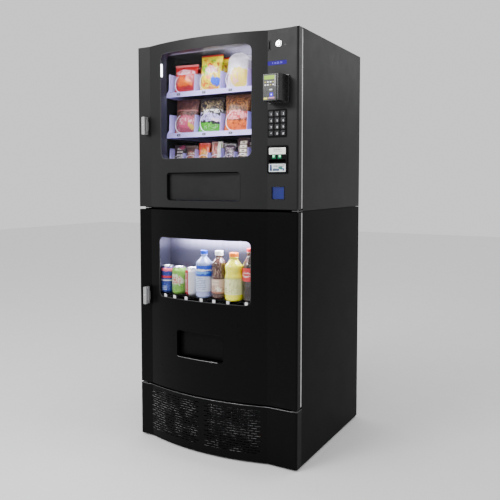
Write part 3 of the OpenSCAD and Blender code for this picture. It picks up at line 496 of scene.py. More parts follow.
# the price clips take the glowing clip white, a little painted light
finish("display_shelf", DISPLAY_BACK,
       (SHELF_EDGE, lambda x, y, z: z < 677),
       (CLIP_GLOWING, lambda x, y, z: 659 < z < 675.2 and any(c - 0.5 < x < c + 13.5 for c in TAG_X)),
       (LAMP_LOW, lambda x, y, z: 933 < z < 949 and 22 < y < 38 and -272 < x < 197))
finish("lower_handle", LOCK, (CHROME, lambda x, y, z: on_key_core(x, y, z, LO0 + 411)))


# ---- piece builders ----
def place(name, data):
    o = bpy.data.objects.new(name, data)
    bpy.context.scene.collection.objects.link(o)
    return o


def mesh_from(name, bm):
    mesh = bpy.data.meshes.new(name)
    bm.to_mesh(mesh)
    bm.free()
    return mesh


def add(name, data, mat, body):
    """Links a mesh or curve, gives it its material and lets it ride on a body."""
    o = place(name, data)
    data.materials.append(mat)
    if isinstance(data, bpy.types.Mesh):
        for p in data.polygons:
            p.use_smooth = True
    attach(o, body)
    return o


def block(name, lo, hi, mat, body, r=0.6):
    """A box between two corners in mm with rounded edges."""
    bm = bmesh.new()
    a, b = P(*lo), P(*hi)
    bmesh.ops.create_cube(bm, size=1)
    size, mid = b - a, (a + b) / 2
    for v in bm.verts:
        v.co = Vector((v.co.x * size.x, v.co.y * size.y, v.co.z * size.z)) + mid
    width = min(r / 1000, min(size) * 0.45)
    bmesh.ops.bevel(bm, geom=list(bm.edges), offset=width, segments=3, affect="EDGES", profile=0.5)
    return add(name, mesh_from(name, bm), mat, body)


def angles(n):
    return [2 * math.pi * i / n for i in range(n)]


def bands(bm, rings):
    """Faces between neighbouring rings of vertices."""
    for a, b in zip(rings, rings[1:]):
        for i in range(len(a)):
            j = (i + 1) % len(a)
            bm.faces.new((a[i], a[j], b[j], b[i]))


def lathe(name, profile, at, mat, body, segs=64, ripple=None):
    """A turned shape: profile is (radius, height) pairs in mm, from the bottom centre to the top centre."""
    verts, faces, rings = [], [], []
    for r, h in profile:
        if r < 0.01:
            rings.append([len(verts)])
            verts.append(P(at[0], at[1], at[2] + h))
            continue
        ring = []
        for a in angles(segs):
            rr = r + (ripple(a, h) if ripple else 0)
            ring.append(len(verts))
            verts.append(P(at[0] + rr * math.cos(a), at[1] + rr * math.sin(a), at[2] + h))
        rings.append(ring)
    for lo, hi in zip(rings, rings[1:]):
        for i in range(segs):
            j = (i + 1) % segs
            if len(lo) == 1:
                faces.append((lo[0], hi[j], hi[i]))
            elif len(hi) == 1:
                faces.append((lo[i], lo[j], hi[0]))
            else:
                faces.append((lo[i], lo[j], hi[j], hi[i]))
    mesh = bpy.data.meshes.new(name)
    mesh.from_pydata(verts, [], faces)
    mesh.update()
    return add(name, mesh, mat, body)


def tube(name, points, radius, mat, body, closed=False):
    """A wire or bead along points in mm."""
    cu = bpy.data.curves.new(name, "CURVE")
    cu.dimensions = "3D"
    cu.bevel_depth = radius / 1000
    cu.bevel_resolution = 4
    cu.use_fill_caps = True
    sp = cu.splines.new("POLY")
    sp.points.add(len(points) - 1)
    for p, q in zip(sp.points, points):
        p.co = (*P(*q), 1)
    sp.use_cyclic_u = closed
    sp.use_smooth = True
    return add(name, cu, mat, body)


def outline(c, w, h, r, n=10):
    """Points (x, z) round a rounded rectangle."""
    pts = []
    for sx, sz, a0 in ((1, 1, 0), (-1, 1, 90), (-1, -1, 180), (1, -1, 270)):
        for i in range(n + 1):
            a = math.radians(a0 + 90 * i / n)
            pts.append((c[0] + sx * (w / 2 - r) + r * math.cos(a),
                c[1] + sz * (h / 2 - r) + r * math.sin(a)))
    out = []
    for (x0, z0), (x1, z1) in zip(pts, pts[1:] + pts[:1]):
        k = max(1, int(abs(x1 - x0) / 14))
        out += [(x0 + (x1 - x0) * i / k, z0 + (z1 - z0) * i / k) for i in range(k)]
    return out


def lettering(name, text, at, size, mat, body, depth=0.2):
    """Digits standing on a face that looks towards -Y."""
    cu = bpy.data.curves.new(name, "FONT")
    cu.body = text
    cu.size = size / 1000
    cu.align_x = "CENTER"
    cu.align_y = "CENTER"
    cu.extrude = depth / 2000
    o = place(name, cu)
    cu.materials.append(mat)
    o.matrix_world = Matrix.Translation(P(*at)) @ Matrix.Rotation(math.pi / 2, 4, "X")
    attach(o, body)
    return o


def screw(name, at, normal, mat, body, r=4, drop=1.6):
    """A pan-head screw with a cross recess, standing on a face."""
    bm = bmesh.new()
    rows = [(r, 0), (r, drop * 0.35), (r * 0.86, drop * 0.75), (r * 0.55, drop), (r * 0.42, drop),
        (r * 0.3, drop * 0.45)]
    rings = []
    for k, (rr, h) in enumerate(rows):
        ring = []
        for i, a in enumerate(angles(24)):
            q = rr / 1000 * (0.55 if k >= 4 and i % 6 in (2, 3, 4) else 1)
            ring.append(bm.verts.new((q * math.cos(a), q * math.sin(a), h / 1000)))
        rings.append(ring)
    bands(bm, rings)
    bm.faces.new(rings[-1])
    bm.faces.new(list(reversed(rings[0])))
    turn = Vector((0, 0, 1)).rotation_difference(Vector(normal)).to_matrix().to_4x4()
    bm.transform(Matrix.Translation(P(*at)) @ turn)
    return add(name, mesh_from(name, bm), mat, body)


# ---- coils: smooth wire and a turned hub in place of the CAD's ----
WIRE_SHARE = 0.72       # the wire in the picture is thinner than the CAD's
# the hub's outline: radius, and y from the coil's rear end
HUB = ((3.05, 14), (8.2, 14), (9, 13), (9, -5), (8.2, -6), (2.4, -6), (2.4, 1), (3.05, 1))


def coil_piece(node, cx, cz, r, pitch, wire):
    turns = (COIL_Y1 - COIL_Y0) / pitch
    n = int(turns * 36)
    start = -2 * math.pi * turns - math.pi / 2      # the front end of the wire is at the bottom
    pts = [(cx + q * r * math.cos(start), COIL_Y1, cz + q * r * math.sin(start)) for q in (0.12, 0.4, 0.8)]
    for i in range(1, n + 1):
        a = start + 2 * math.pi * turns * i / n
        pts.append((cx + r * math.cos(a), COIL_Y1 - pitch * turns * i / n, cz + r * math.sin(a)))
    o = tube("wire_" + node, pts, wire * WIRE_SHARE, WIRE, node)
    bm = bmesh.new()
    rings = [[bm.verts.new(P(cx + q * math.cos(a), COIL_Y1 + y, cz + q * math.sin(a))) for a in angles(32)]
             for q, y in HUB]
    bands(bm, rings + rings[:1])
    bmesh.ops.recalc_face_normals(bm, faces=list(bm.faces))
    hub = add("hub_" + node, mesh_from("hub_" + node, bm), MOTOR, node)
    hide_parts(node)


def coil_axis(tray, r, wire):
    """Height of a coil's axis: it lies 1.5 mm clear of the tray's floor."""
    return TRAY_Z[tray] + 20.2 + r + wire + 1.5


for t, tray in enumerate(("top", "middle")):
    for i in range(4):
        x, z = TRAY_X0 + (i + 0.5) * LANE, coil_axis(t, COIL_R, COIL_WIRE)
        coil_piece(f"coil_{tray}_{i + 1}", x, z, COIL_R, COIL_PITCH, COIL_WIRE)
for i in range(8):
    x, z = TRAY_X0 + (i + 0.5) * LANE / 2, coil_axis(2, CANDY_R, CANDY_WIRE)
    coil_piece(f"coil_candy_{i + 1}", x, z, CANDY_R, CANDY_PITCH, CANDY_WIRE)


# ---- snacks ----
def bag(name, at, w, h, thick, mat, lean, turn, seed, dome=0, crimp=9):
    """A filled film bag on its bottom crimp: fat in the middle, flat at a seam at top and bottom."""
    r = random.Random(seed)
    nx, nz = 34, 44
    ph = [r.uniform(0, 6.28) for _ in range(8)]
    belly = 0.42        # the fattest height, as a share of the bag's

    def point(side, u, v):
        """A point of one face; u runs from -1 to 1 across and v from 0 to 1 up."""
        z = v * h
        seam = min(z, h - z)
        lift = min(1, max(0, (seam - crimp) / (h * 0.32)))
        swell = math.sin(lift * math.pi / 2) ** 0.85
        across = max(0, 1 - abs(u) ** 2.3) ** 0.75
        y = thick / 2 * swell * across * (1 + 0.25 * math.cos(math.pi * (v - belly)))
        drawn_in = 0.07 * swell if abs(u) > 0.2 else 0
        x = u * w / 2 * (1 - drawn_in * abs(u) ** 3)
        if dome and v > 1 - dome:
            q = (v - (1 - dome)) / dome
            x *= math.sqrt(max(0.03, 1 - q ** 2.4))
        # pulls that run from the seams into the body, then slow creases over it
        pull = math.exp(-max(0, seam - crimp) / (h * 0.10)) * (1 if seam > crimp * 0.6 else 0)
        y += pull * 1.6 * math.sin(u * 17 + ph[0] + (2 if v > 0.5 else 0)) * across
        crease = 1.3 * math.sin(3.1 * u + 7 * v + ph[1]) + 0.9 * math.sin(9 * u - 5 * v + ph[2])
        crease += 0.7 * math.sin(6 * u + 15 * v + ph[3])
        y += swell * across * crease
        if seam <= crimp:
            y = 0.35 + 0.3 * math.sin(z * 4.2)
        y = 0 if abs(u) == 1 else max(0.25, y)
        return (x, side * y, z)

    verts, faces, index = [], [], {}

    def vid(side, k, i):
        key = (0, k, i) if i in (0, nx) else (side, k, i)      # both faces share the side edges
        if key not in index:
            index[key] = len(verts)
            verts.append(point(side, i / nx * 2 - 1, k / nz))
        return index[key]

    for side in (-1, 1):
        for k in range(nz):
            for i in range(nx):
                ids = [vid(side, k, i), vid(side, k, i + 1), vid(side, k + 1, i + 1), vid(side, k + 1, i)]
                faces.append(ids if side < 0 else ids[::-1])
    for k in (0, nz):
        for i in range(nx):
            ids = list(dict.fromkeys((vid(-1, k, i), vid(-1, k, i + 1), vid(1, k, i + 1), vid(1, k, i))))
            faces.append(ids if k else ids[::-1])
    mesh = bpy.data.meshes.new(name)
    mesh.from_pydata([Vector(v) / 1000 for v in verts], [], faces)
    bm = bmesh.new()
    bm.from_mesh(mesh)
    bmesh.ops.recalc_face_normals(bm, faces=list(bm.faces))
    bm.to_mesh(mesh)
    bm.free()
    for p in mesh.polygons:
        p.use_smooth = True
    mesh.materials.append(mat)
    o = place(name, mesh)
    leaning = Matrix.Rotation(math.radians(-lean), 4, "X")
    o.matrix_world = Matrix.Translation(P(*at)) @ Matrix.Rotation(math.radians(turn), 4, "Z") @ leaning
    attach(o, "cabinet")


RED, PINK, NAVY = (0.6, 0, 0.003), (0.7, 0.08, 0.16), (0.01, 0.02, 0.16)
WHITE, DARK, CREAM = (0.86, 0.84, 0.86), (0.008, 0.006, 0.01), (0.7, 0.6, 0.4)

# each row of stock: film, width, height, thickness and the rounded share of the top
SNACKS_TOP = [
    (art("film_red", (0.55, 0, 0.004), [
        ("blob", 0.5, 0.72, 0.4, 0.09, (0.9, 0.6, 0.66), 1.2),
        ("lines", 7, 0.06, (0.7, 0.02, 0.06), 0.16, 0.84, 0.67, 0.77),
        ("blob", 0.42, 0.42, 0.3, 0.17, (0.85, 0.13, 0), 2.2),
        ("blob", 0.62, 0.34, 0.2, 0.12, (0.9, 0.2, 0), 2.6),
        ("lines", 4, 0.045, (0.35, 0, 0), 0.1, 0.9, 0.14, 0.6), ("band", 0.93, 1.1, (0.85, 0.2, 0.2), 0)],
        coat=0.04), 122, 138, 44, 0),
    (art("film_yellow", (0.95, 0.8, 0), [
        ("speck", 4, 0.42, (0.85, 0.82, 0.02), 0.1, 0.95),
        ("blob", 0.26, 0.62, 0.15, 0.1, (0.16, 0.5, 0), 2.6),
        ("blob", 0.6, 0.83, 0.12, 0.05, (0.2, 0.5, 0), 2.6),
        ("blob", 0.5, 0.7, 0.12, 0.06, (0.85, 0.22, 0), 2),
        ("blob", 0.32, 0.44, 0.12, 0.07, (0.2, 0.55, 0), 2.6),
        ("blob", 0.47, 0.36, 0.1, 0.06, (0.85, 0.2, 0), 2),
        ("blob", 0.22, 0.22, 0.13, 0.06, (0.8, 0.12, 0), 2.4),
        ("blob", 0.5, 0.1, 0.16, 0.05, (0.85, 0.25, 0.05), 2.4),
        ("blob", 0.28, 0.84, 0.12, 0.035, (0.8, 0.35, 0), 2.4),
        ("lines", 5, 0.03, (0.5, 0.12, 0), 0.08, 0.92, 0.04, 0.88),
        ("blob", 0.55, 0.56, 0.22, 0.1, (0.88, 0.42, 0.45), 2.6),
        ("lines", 9, 0.035, (0.92, 0.85, 0.8), 0.3, 0.8, 0.48, 0.64),
        ("blob", 0.76, 0.27, 0.2, 0.11, (0, 0.07, 0.75), 1.6),
        ("band", 0, 0.05, (0.6, 0.05, 0), 0.6), ("band", 0.95, 1.1, RED, 0)], coat=0.04), 112, 172, 46, 0),
    (art("film_white", WHITE, [
        ("blob", 0.66, 0.3, 0.44, 0.26, (0.88, 0.72, 0.06), 1.6),
        ("lines", 5, 0.07, (0.88, 0.45, 0.4), 0.04, 0.6, 0.14, 0.46),
        ("lines", 8, 0.02, (0.8, 0.6, 0.2), 0.3, 0.95, 0.1, 0.5),
        ("lines", 12, 0.025, (0.55, 0.55, 0.62), 0.25, 0.75, 0.56, 0.68)], coat=0.04), 108, 170, 48, 0.3),
    (art("film_rose", (0.83, 0.55, 0.66), [
        ("blob", 0.3, 0.5, 0.3, 0.2, PINK, 1.8), ("band", 0.88, 1.1, WHITE, 0.3),
        ("blob", 0.4, 0.25, 0.3, 0.1, (0.8, 0.12, 0.02), 1.8),
        ("speck", 6, 0.12, DARK, 0.3, 0.95)], coat=0.04), 108, 138, 44, 0),
]
SNACKS_MID = [
    (art("film_brown", (0.07, 0.022, 0.018), [
        ("lines", 7, 0.05, (0.22, 0.09, 0.06), 0, 1, 0.5, 1), ("band", 0.64, 0.68, (0.4, 0.14, 0.12), 0.4),
        ("band", -0.1, 0.48, (0.42, 0.08, 0.1), 1.4),
        ("blob", 0.5, 0.34, 0.36, 0.17, (0.72, 0.1, 0.18), 2.4),
        ("lines", 8, 0.05, (0.9, 0.6, 0.6), 0.25, 0.85, 0.26, 0.44),
        ("lines", 8, 0.06, (0.5, 0.3, 0.2), 0, 0.24, 0, 0.5),
        ("blob", 0.74, 0.2, 0.1, 0.06, (0.85, 0.6, 0.05), 2)], rough=0.45, coat=0), 126, 166, 42, 0),
    (art("film_black", (0.01, 0.007, 0.008), [
        ("lines", 8, 0.045, (0.36, 0.27, 0.12), 0.08, 1, 0.62, 0.92),
        ("lines", 10, 0.08, (0.85, 0.83, 0.78), 0.15, 0.95, 0.54, 0.64),
        ("blob", 0.5, 0.42, 0.44, 0.11, (0.5, 0.44, 0.8), 2.8),
        ("lines", 7, 0.045, (0.12, 0.09, 0.26), 0.1, 0.9, 0.34, 0.5),
        ("band", -0.1, 0.26, (0.05, 0.42, 0), 1.8), ("blob", 0.78, 0.34, 0.2, 0.06, (0.8, 0.62, 0.78), 1.6),
        ("lines", 7, 0.02, (0.5, 0.75, 0.35), 0.1, 0.8, 0, 0.25),
        ("blob", 0.72, 0.26, 0.16, 0.035, DARK, 1)], rough=0.45, coat=0), 130, 166, 44, 0),
    (art("film_amber", (0.09, 0.028, 0.004), [
        ("lines", 7, 0.05, (0.34, 0.14, 0.03), 0, 1, 0.54, 0.95),
        ("blob", 0.5, 0.42, 0.44, 0.12, (0.86, 0.3, 0.3), 2),
        ("lines", 6, 0.06, (0.6, 0.04, 0.05), 0.1, 0.9, 0.33, 0.52),
        ("band", -0.1, 0.28, (0.8, 0.15, 0), 1.6),
        ("lines", 5, 0.02, (0.35, 0.05, 0), 0.05, 0.95, 0.04, 0.3),
        ("band", 0.285, 0.3, (0.3, 0.04, 0), 1.6)], rough=0.45, coat=0), 130, 170, 44, 0),
    (art("film_navy", NAVY, [("blob", 0.5, 0.5, 0.36, 0.18, (0.12, 0.2, 0.5), 2),
        ("band", 0, 0.1, (0.3, 0.35, 0.7), 0.8), ("lines", 8, 0.02, (0.4, 0.5, 0.8), 0.2, 0.8, 0.3, 0.7)],
        coat=0.1), 112, 158, 42, 0),
]
for row, stock in enumerate((SNACKS_TOP, SNACKS_MID)):
    floor_z = TRAY_Z[row] + TRAY_FLOOR
    for i, (film, w, h, thick, dome) in enumerate(stock):
        x = TRAY_X0 + (i + 0.5) * LANE
        for depth in range(6):
            first = depth == 0
            y = COIL_Y0 + 37 + depth * COIL_PITCH
            off = rng.uniform(-2, 2) if first else rng.uniform(-5, 6)
            height = h if first else h * rng.uniform(0.93, 1)
            lean, turn = rng.uniform(7, 9), rng.uniform(6, 9)
            at, seed = (x + off, y, floor_z), row * 40 + i * 8 + depth
            bag(f"snack_{row + 1}_{i + 1}_{depth + 1}", at, w, height, thick * 0.85, film, lean, turn, seed,
                dome)


def stack(x0, x1, low, high, c):
    """Six blocks up a wrapper, in place of large letters."""
    return [("box", x0, x1, z + low, z + high, c) for z in (0.08 + 0.14 * k for k in range(6))]


# bars: film and height
BARS = [
    (art("bar_umber", (0.03, 0.014, 0.012), [
        *stack(0.3, 0.78, 0, 0.085, (0.75, 0.7, 0.68)), *stack(0.42, 0.66, 0.03, 0.055, DARK),
        ("blob", 0.7, 0.9, 0.25, 0.09, (0.3, 0.03, 0.1), 2)], coat=0.1), 108),
    (art("bar_brick", (0.12, 0.07, 0.05), [("lines", 9, 0.05, (0.06, 0.03, 0.03), 0, 1, 0, 1),
        ("blob", 0.5, 0.45, 0.32, 0.3, (0.28, 0.03, 0.03), 2.4),
        ("lines", 12, 0.04, CREAM, 0.2, 0.8, 0.2, 0.7)], coat=0.1), 104),
    (art("bar_orange", (0.62, 0.06, 0.008), [("blob", 0.5, 0.5, 0.3, 0.26, (0.7, 0.3, 0.01), 2.4),
        ("lines", 7, 0.04, (0.1, 0.03, 0), 0.25, 0.75, 0.1, 0.8),
        ("band", 0.9, 1.1, (0.5, 0.02, 0.01), 0.2)], coat=0.1), 114),
    (art("bar_mixed", (0.22, 0.09, 0.07), [("box", 0.55, 0.95, -0.1, 1.1, (0.76, 0.74, 0.6)),
        ("box", 0.84, 0.92, -0.1, 1.1, (0.12, 0.2, 0.04)),
        ("lines", 10, 0.05, (0.55, 0.06, 0.05), 0.05, 0.6, 0.1, 0.9)], coat=0.1), 118),
    (art("bar_plum", (0.025, 0.012, 0.018), [("lines", 8, 0.05, (0.5, 0.36, 0.42), 0.15, 0.85, 0.15, 0.85),
        ("blob", 0.3, 0.2, 0.14, 0.1, (0.45, 0.4, 0.4), 2)], coat=0.1), 106),
    (art("bar_cocoa", (0.045, 0.014, 0.01), [
        *stack(0.24, 0.8, 0, 0.1, (0.78, 0.72, 0.52)),
        *stack(0.4, 0.62, 0.03, 0.06, (0.05, 0.015, 0.01))], coat=0.1), 132),
    (art("bar_grey", (0.05, 0.045, 0.05), [("lines", 7, 0.05, (0.4, 0.38, 0.4), 0.05, 0.95, 0.05, 0.95),
        ("blob", 0.5, 0.5, 0.3, 0.14, (0.2, 0.05, 0.06), 2)], coat=0.1), 110),
    (art("bar_silver", (0.3, 0.3, 0.33), [("blob", 0.5, 0.5, 0.3, 0.3, (0.5, 0.5, 0.52), 2)], metal=0.4),
        110),
]
floor_z = TRAY_Z[2] + TRAY_FLOOR
for i, (film, h) in enumerate(BARS):
    x = TRAY_X0 + (i + 0.5) * LANE / 2
    for depth in range(7):
        y = COIL_Y0 + 31 + depth * CANDY_PITCH
        at = (x - 1 + rng.uniform(-1, 1), y, floor_z)
        height = h * (1 if depth == 0 else rng.uniform(0.95, 1))
        lean, turn = rng.uniform(5, 7), rng.uniform(6, 9)
        seed = 200 + i * 8 + depth
        bag(f"bar_{i + 1}_{depth + 1}", at, 60, height, 16, film, lean, turn, seed, crimp=7)

# ---- sample drinks ----
SD, DOOR = "snack_door", "drink_door"
# half outline of a 330 ml can, as (radius, height); the first CAN_BODY points are the printed body
CAN_BODY = 11
CAN = [(0, 4), (20, 4), (23.5, 0.5), (25.5, 1.5), (29, 6), (32.2, 11), (33, 16), (33, 104), (32.2, 109),
       (28.6, 115.5), (27.4, 118.5), (28.2, 120.5), (28.4, 121.6), (27.6, 122), (26.6, 121.4),
       (25.8, 117.8), (24.2, 117.2), (21, 119), (0, 119)]


def bottle(r, h, neck, shoulder, cap, waist=None):
    """Outline of a drink bottle up to its cap, in mm."""
    pts = [(0, 5), (r * 0.5, 4), (r * 0.72, 0.3), (r * 0.9, 2), (r * 0.99, 9)]
    for k in range(37):
        z = 12 + (shoulder - 12) * k / 36
        pts.append((r - (waist(z) if waist else 0), z))
    for k in range(1, 15):
        q = k / 14
        pts.append((neck + (r - neck) * (0.5 + 0.5 * math.cos(math.pi * q)) ** 0.9,
            shoulder + (h - cap - 7 - shoulder) * q))
    pts += [(neck, h - cap - 4), (neck + 2.5, h - cap - 3.5), (neck + 2.5, h - cap - 1.6),
        (neck, h - cap - 1.2), (neck, h - cap), (0, h - cap)]
    return pts


def cap_piece(name, at, r, h, height, mat):
    """A ribbed screw cap over a tamper ring."""
    low = h - height
    prof = [(0, low), (r - 0.4, low), (r, low + 0.5), (r, low + 3), (r - 0.5, low + 3.4), (r, low + 4)]
    prof += [(r, h - 1.6), (r - 0.7, h - 0.4), (r - 2, h), (0, h - 0.2)]

    def ribs_round(a, z):
        return 0.22 * math.cos(a * 48) if low + 3.5 < z < h - 1 else 0

    lathe(name, prof, at, mat, DOOR, segs=96, ripple=ribs_round)


def sleeve(name, at, r, z0, z1, label, base, layers, waist=None):
    """A paper or film label that follows the bottle's side from z0 to z1."""
    heights = [z0 + (z1 - z0) * k / 12 for k in range(13)]
    outer = [(r - (waist(z) if waist else 0) + 0.35, z) for z in heights]
    lathe(name, outer, at, art(label, base, layers, crinkle=0.1), DOOR, segs=72)


SILVER = brushed("can_end", (0.8, 0.8, 0.83), rough=0.25)
# x, y and the print's name, base colour and layers
CANS = [
    (-255, 26, "can_navy", (0.015, 0.03, 0.26), [
        ("band", 0.83, 0.95, (0.75, 0.12, 0.2), 0.6), ("band", 0.58, 0.66, (0.6, 0.01, 0.03), 0),
        ("band", 0.47, 0.51, (0.8, 0.83, 0.92), 0),
        ("lines", 8, 0.04, (0.02, 0.12, 0.6), 0.1, 0.9, 0.1, 0.4),
        ("rows", 16, 0.5, (0.5, 0.6, 0.85), 0.3, 0.7, 0.12, 0.28),
        ("speck", 9, 0.12, (0.05, 0.12, 0.6), 0, 0.8)]),
    (-187, 16, "can_lime", (0.22, 0.5, 0.06), [
        ("blob", 0.5, 0.55, 0.45, 0.2, (0.72, 0.8, 0.62), 3),
        ("lines", 9, 0.07, (0.6, 0.03, 0.03), 0.2, 0.85, 0.4, 0.68),
        ("lines", 7, 0.03, (0.02, 0.2, 0.02), 0.1, 0.9, 0.05, 0.4),
        ("speck", 6, 0.2, (0.08, 0.32, 0.04), 0, 0.45), ("speck", 7, 0.13, (0.02, 0.1, 0.02), 0, 0.9)]),
    (-117, 16, "can_white", (0.74, 0.75, 0.8), [
        ("box", 0.14, 0.5, -0.1, 0.95, (0.4, 0, 0.01)),
        ("lines", 12, 0.06, (0.85, 0.75, 0.76), 0.22, 0.42, 0.15, 0.85)]),
]
for i, (x, y, *printed) in enumerate(CANS):
    at = (x, y, SHELF_Z + 0.3)
    lathe(f"can_{i + 1}", CAN[:CAN_BODY], at, art(*printed, crinkle=0, metal=0.35), DOOR)
    lathe(f"can_end_{i + 1}", [(28.2, 119.2)] + CAN[CAN_BODY - 1:], at, SILVER, DOOR)
    ring = [(x + 9 * math.cos(a), y - 4 + 13 * math.sin(a), SHELF_Z + 120.4) for a in angles(20)]
    tube(f"can_tab_{i + 1}", ring, 1.1, SILVER, DOOR, closed=True)


def ribs(step, deep, z0, z1):
    return lambda z: deep * (0.5 - 0.5 * math.cos(2 * math.pi * z / step)) if z0 < z < z1 else 0


WATER = art("water_fill", (0.26, 0.33, 0.6), [("speck", 5, 0.2, (0.45, 0.55, 0.85), 0, 1),
    ("band", 0, 0.4, (0.4, 0.46, 0.8), 2)], rough=0.08, crinkle=0.1, coat=1)
TEA = art("tea_fill", (0.07, 0.025, 0.018), [("lines", 6, 0.03, (0.3, 0.18, 0.14), 0.1, 0.9, 0.5, 1)],
    rough=0.08, crinkle=0.05, coat=1)
LEMON = art("lemon_fill", (0.88, 0.84, 0), [("blob", 0.3, 0.6, 0.1, 0.4, (0.95, 0.9, 0.1), 1)], rough=0.1,
    crinkle=0.05, coat=1)
COLA = art("cola_fill", (0.02, 0.008, 0.006), [("blob", 0.4, 0.78, 0.14, 0.1, (0.1, 0.05, 0.04), 1)],
    rough=0.06, crinkle=0.03, coat=1)
# name, x, y, radius, height, neck radius, shoulder height, cap height, contents, cap, waist, labels;
# a label is its lower and upper height, and the print's name, base colour and layers
BOTTLES = [
    ("water", -45, 2, 36, 204, 12.5, 146, 17, WATER,
     surface("cap_blue", (0, 0.05, 0.5), rough=0.35, vary=0.05), ribs(13, 2.2, 14, 78),
     (96, 140, "label_blue", (0, 0.05, 0.55), [
         ("band", 0.45, 0.62, WHITE, 2.5), ("blob", 0.5, 0.3, 0.5, 0.14, (0.1, 0.35, 0.85), 2)]),
     (30, 92, "label_clear", (0.62, 0.7, 0.9), [
         ("rows", 8, 0.45, (0.06, 0.1, 0.35), 0.15, 0.85, 0.05, 0.95)])),
    ("tea", 28, 8, 33, 205, 16, 150, 19, TEA,
     surface("cap_white", (0.82, 0.83, 0.86), rough=0.35, vary=0.04), None,
     (26, 86, "label_tan", (0.62, 0.42, 0.32), [
         ("rows", 5, 0.6, (0.85, 0.78, 0.66), 0.2, 0.75, 0.5, 0.95),
         ("blob", 0.7, 0.3, 0.2, 0.16, (0.88, 0.84, 0.7), 1.6),
         ("lines", 7, 0.04, (0.25, 0.08, 0.04), 0, 1, 0, 0.5), ("band", 0, 0.1, (0.35, 0.12, 0.06), 0.5)])),
    ("lemon", 105, 2, 39, 201, 17, 140, 17, LEMON,
     surface("cap_orange", (0.85, 0.2, 0), rough=0.35, vary=0.05),
     lambda z: 3 * math.exp(-((z - 118) / 10) ** 2),
     (28, 100, "label_pale", (0.78, 0.8, 0.36), [
         ("lines", 5, 0.04, (0.88, 0.88, 0.7), 0.1, 0.5, 0.2, 0.85),
         ("lines", 8, 0.03, (0.3, 0.34, 0.1), 0.45, 0.95, 0.1, 0.9),
         ("rows", 9, 0.4, (0.2, 0.22, 0.05), 0.12, 0.4, 0.1, 0.4),
         ("band", 0.9, 1.1, (0.6, 0.62, 0.1), 0.3)])),
    ("cola", 174, 20, 33, 222, 12.5, 144, 16, COLA,
     surface("cap_red", (0.66, 0.02, 0.03), rough=0.35, vary=0.05),
     lambda z: 4 * math.exp(-((z - 62) / 18) ** 2),
     (86, 141, "label_red", (0.62, 0.02, 0.03), [
         ("blob", 0.5, 0.5, 0.36, 0.2, (0.8, 0.6, 0.6), 2.6),
         ("blob", 0.5, 0.5, 0.28, 0.1, (0.6, 0.02, 0.03), 1.6)])),
]
for name, x, y, r, h, neck, shoulder, cap, fill, cap_finish, waist, label, *low_label in BOTTLES:
    at = (x, y, SHELF_Z + 0.3)
    lathe(f"bottle_{name}", bottle(r, h, neck, shoulder, cap, waist), at, fill, DOOR, segs=72)
    cap_piece(f"cap_{name}", at, neck + 2.2, h, cap, cap_finish)
    sleeve(f"label_{name}", at, r, *label, waist)
    for low in low_label:
        sleeve(f"label_{name}_low", at, r, *low)


# ---- window beads, port trims ----
def bead(name, edge, y, radius, mat, body, closed=True):
    """A thin bead along (x, z) points, y in front of the bow."""
    tube(name, [(x, bow(x) + y, z) for x, z in edge], radius, mat, body, closed)


for name, (cx, cz, w, h, r), grow, y, radius, mat, body in (
        ("upper_window_bead", UP_WIN, -2, 0.9, 1.5, RUBBER, SD),
        ("lower_window_bead", LO_WIN, -2, 0.9, 1.5, RUBBER, DOOR),
        ("snack_port_bead", SNACK_PORT, 1.5, 0.4, 1.3, BLACK_UP_LIT, SD),
        ("drink_port_bead", DRINK_PORT, 1.5, 0.4, 1.3, BASE_PAINT, DOOR)):
    bead(name, outline((cx, cz), w + grow, h + grow, r + grow / 2), y, radius, mat, body)

# ---- pale gasket edges between the doors and the cabinets, flecked with painted highlight; lips that catch the light ----
# partly the real pale gasket and partly painted highlight along the doors' rounded edges; the white specks
# are painted highlight
EDGE = art("gasket_edge_glint", (0.5, 0.5, 0.5), [("speck", 40, 0.22, (0.95, 0.95, 0.95), 0, 1)], rough=0.4,
    crinkle=0)
LIP = brushed("seam_lip", (0.4, 0.4, 0.41), rough=0.3)
block("upper_gasket_edge", (394, 35.2, UP0 + 4), (399.2, 45.2, UP1 - 1.5), EDGE, SD, r=1.2)
block("lower_gasket_edge", (394, 35.2, LO0 + 3), (399.2, 45.2, LO1 - 1.5), EDGE, DOOR, r=1.2)
bead("base_lip", [(x, 245.2) for x in range(-388, 392, 12)], 1.2, 0.7, LIP, "cabinet", closed=False)
px, pz, pw, ph, pr = DRINK_PORT
port_edge = outline((px, pz), pw - 1, ph - 1, pr)
lower_edge = [(x, z) for x, z in port_edge if z < pz - ph / 2 + 5 and x < px + pw / 2 - 16]
bead("drink_port_lip", lower_edge, 0.6, 1, LIP, DOOR, closed=False)

# ---- price tags and their digits ----
TAG = surface("tag_card", (0.045, 0.045, 0.07), rough=0.4)
for t in range(3):
    lanes = 8 if t == 2 else 4
    for i in range(lanes):
        x, y, z = TRAY_X0 + (i + 0.5) * 4 * LANE / lanes, TRAY_Y0 + 3, TRAY_Z[t] + 11.5
        lo, hi = (x - 9, y - 1.6, z - 5.5), (x + 9, y + 0.6, z + 5.5)
        block(f"tag_{t + 1}_{i + 1}", lo, hi, TAG, "cabinet", r=0.5)
        digits = str(10 + t * 10 + i)
        lettering(f"tag_digits_{t + 1}_{i + 1}", digits, (x, y - 1.75, z), 9, WHITE_INK, "cabinet")

# ---- control strip ----
KEY_STEP_X, KEY_STEP_Z = 27, 25.6
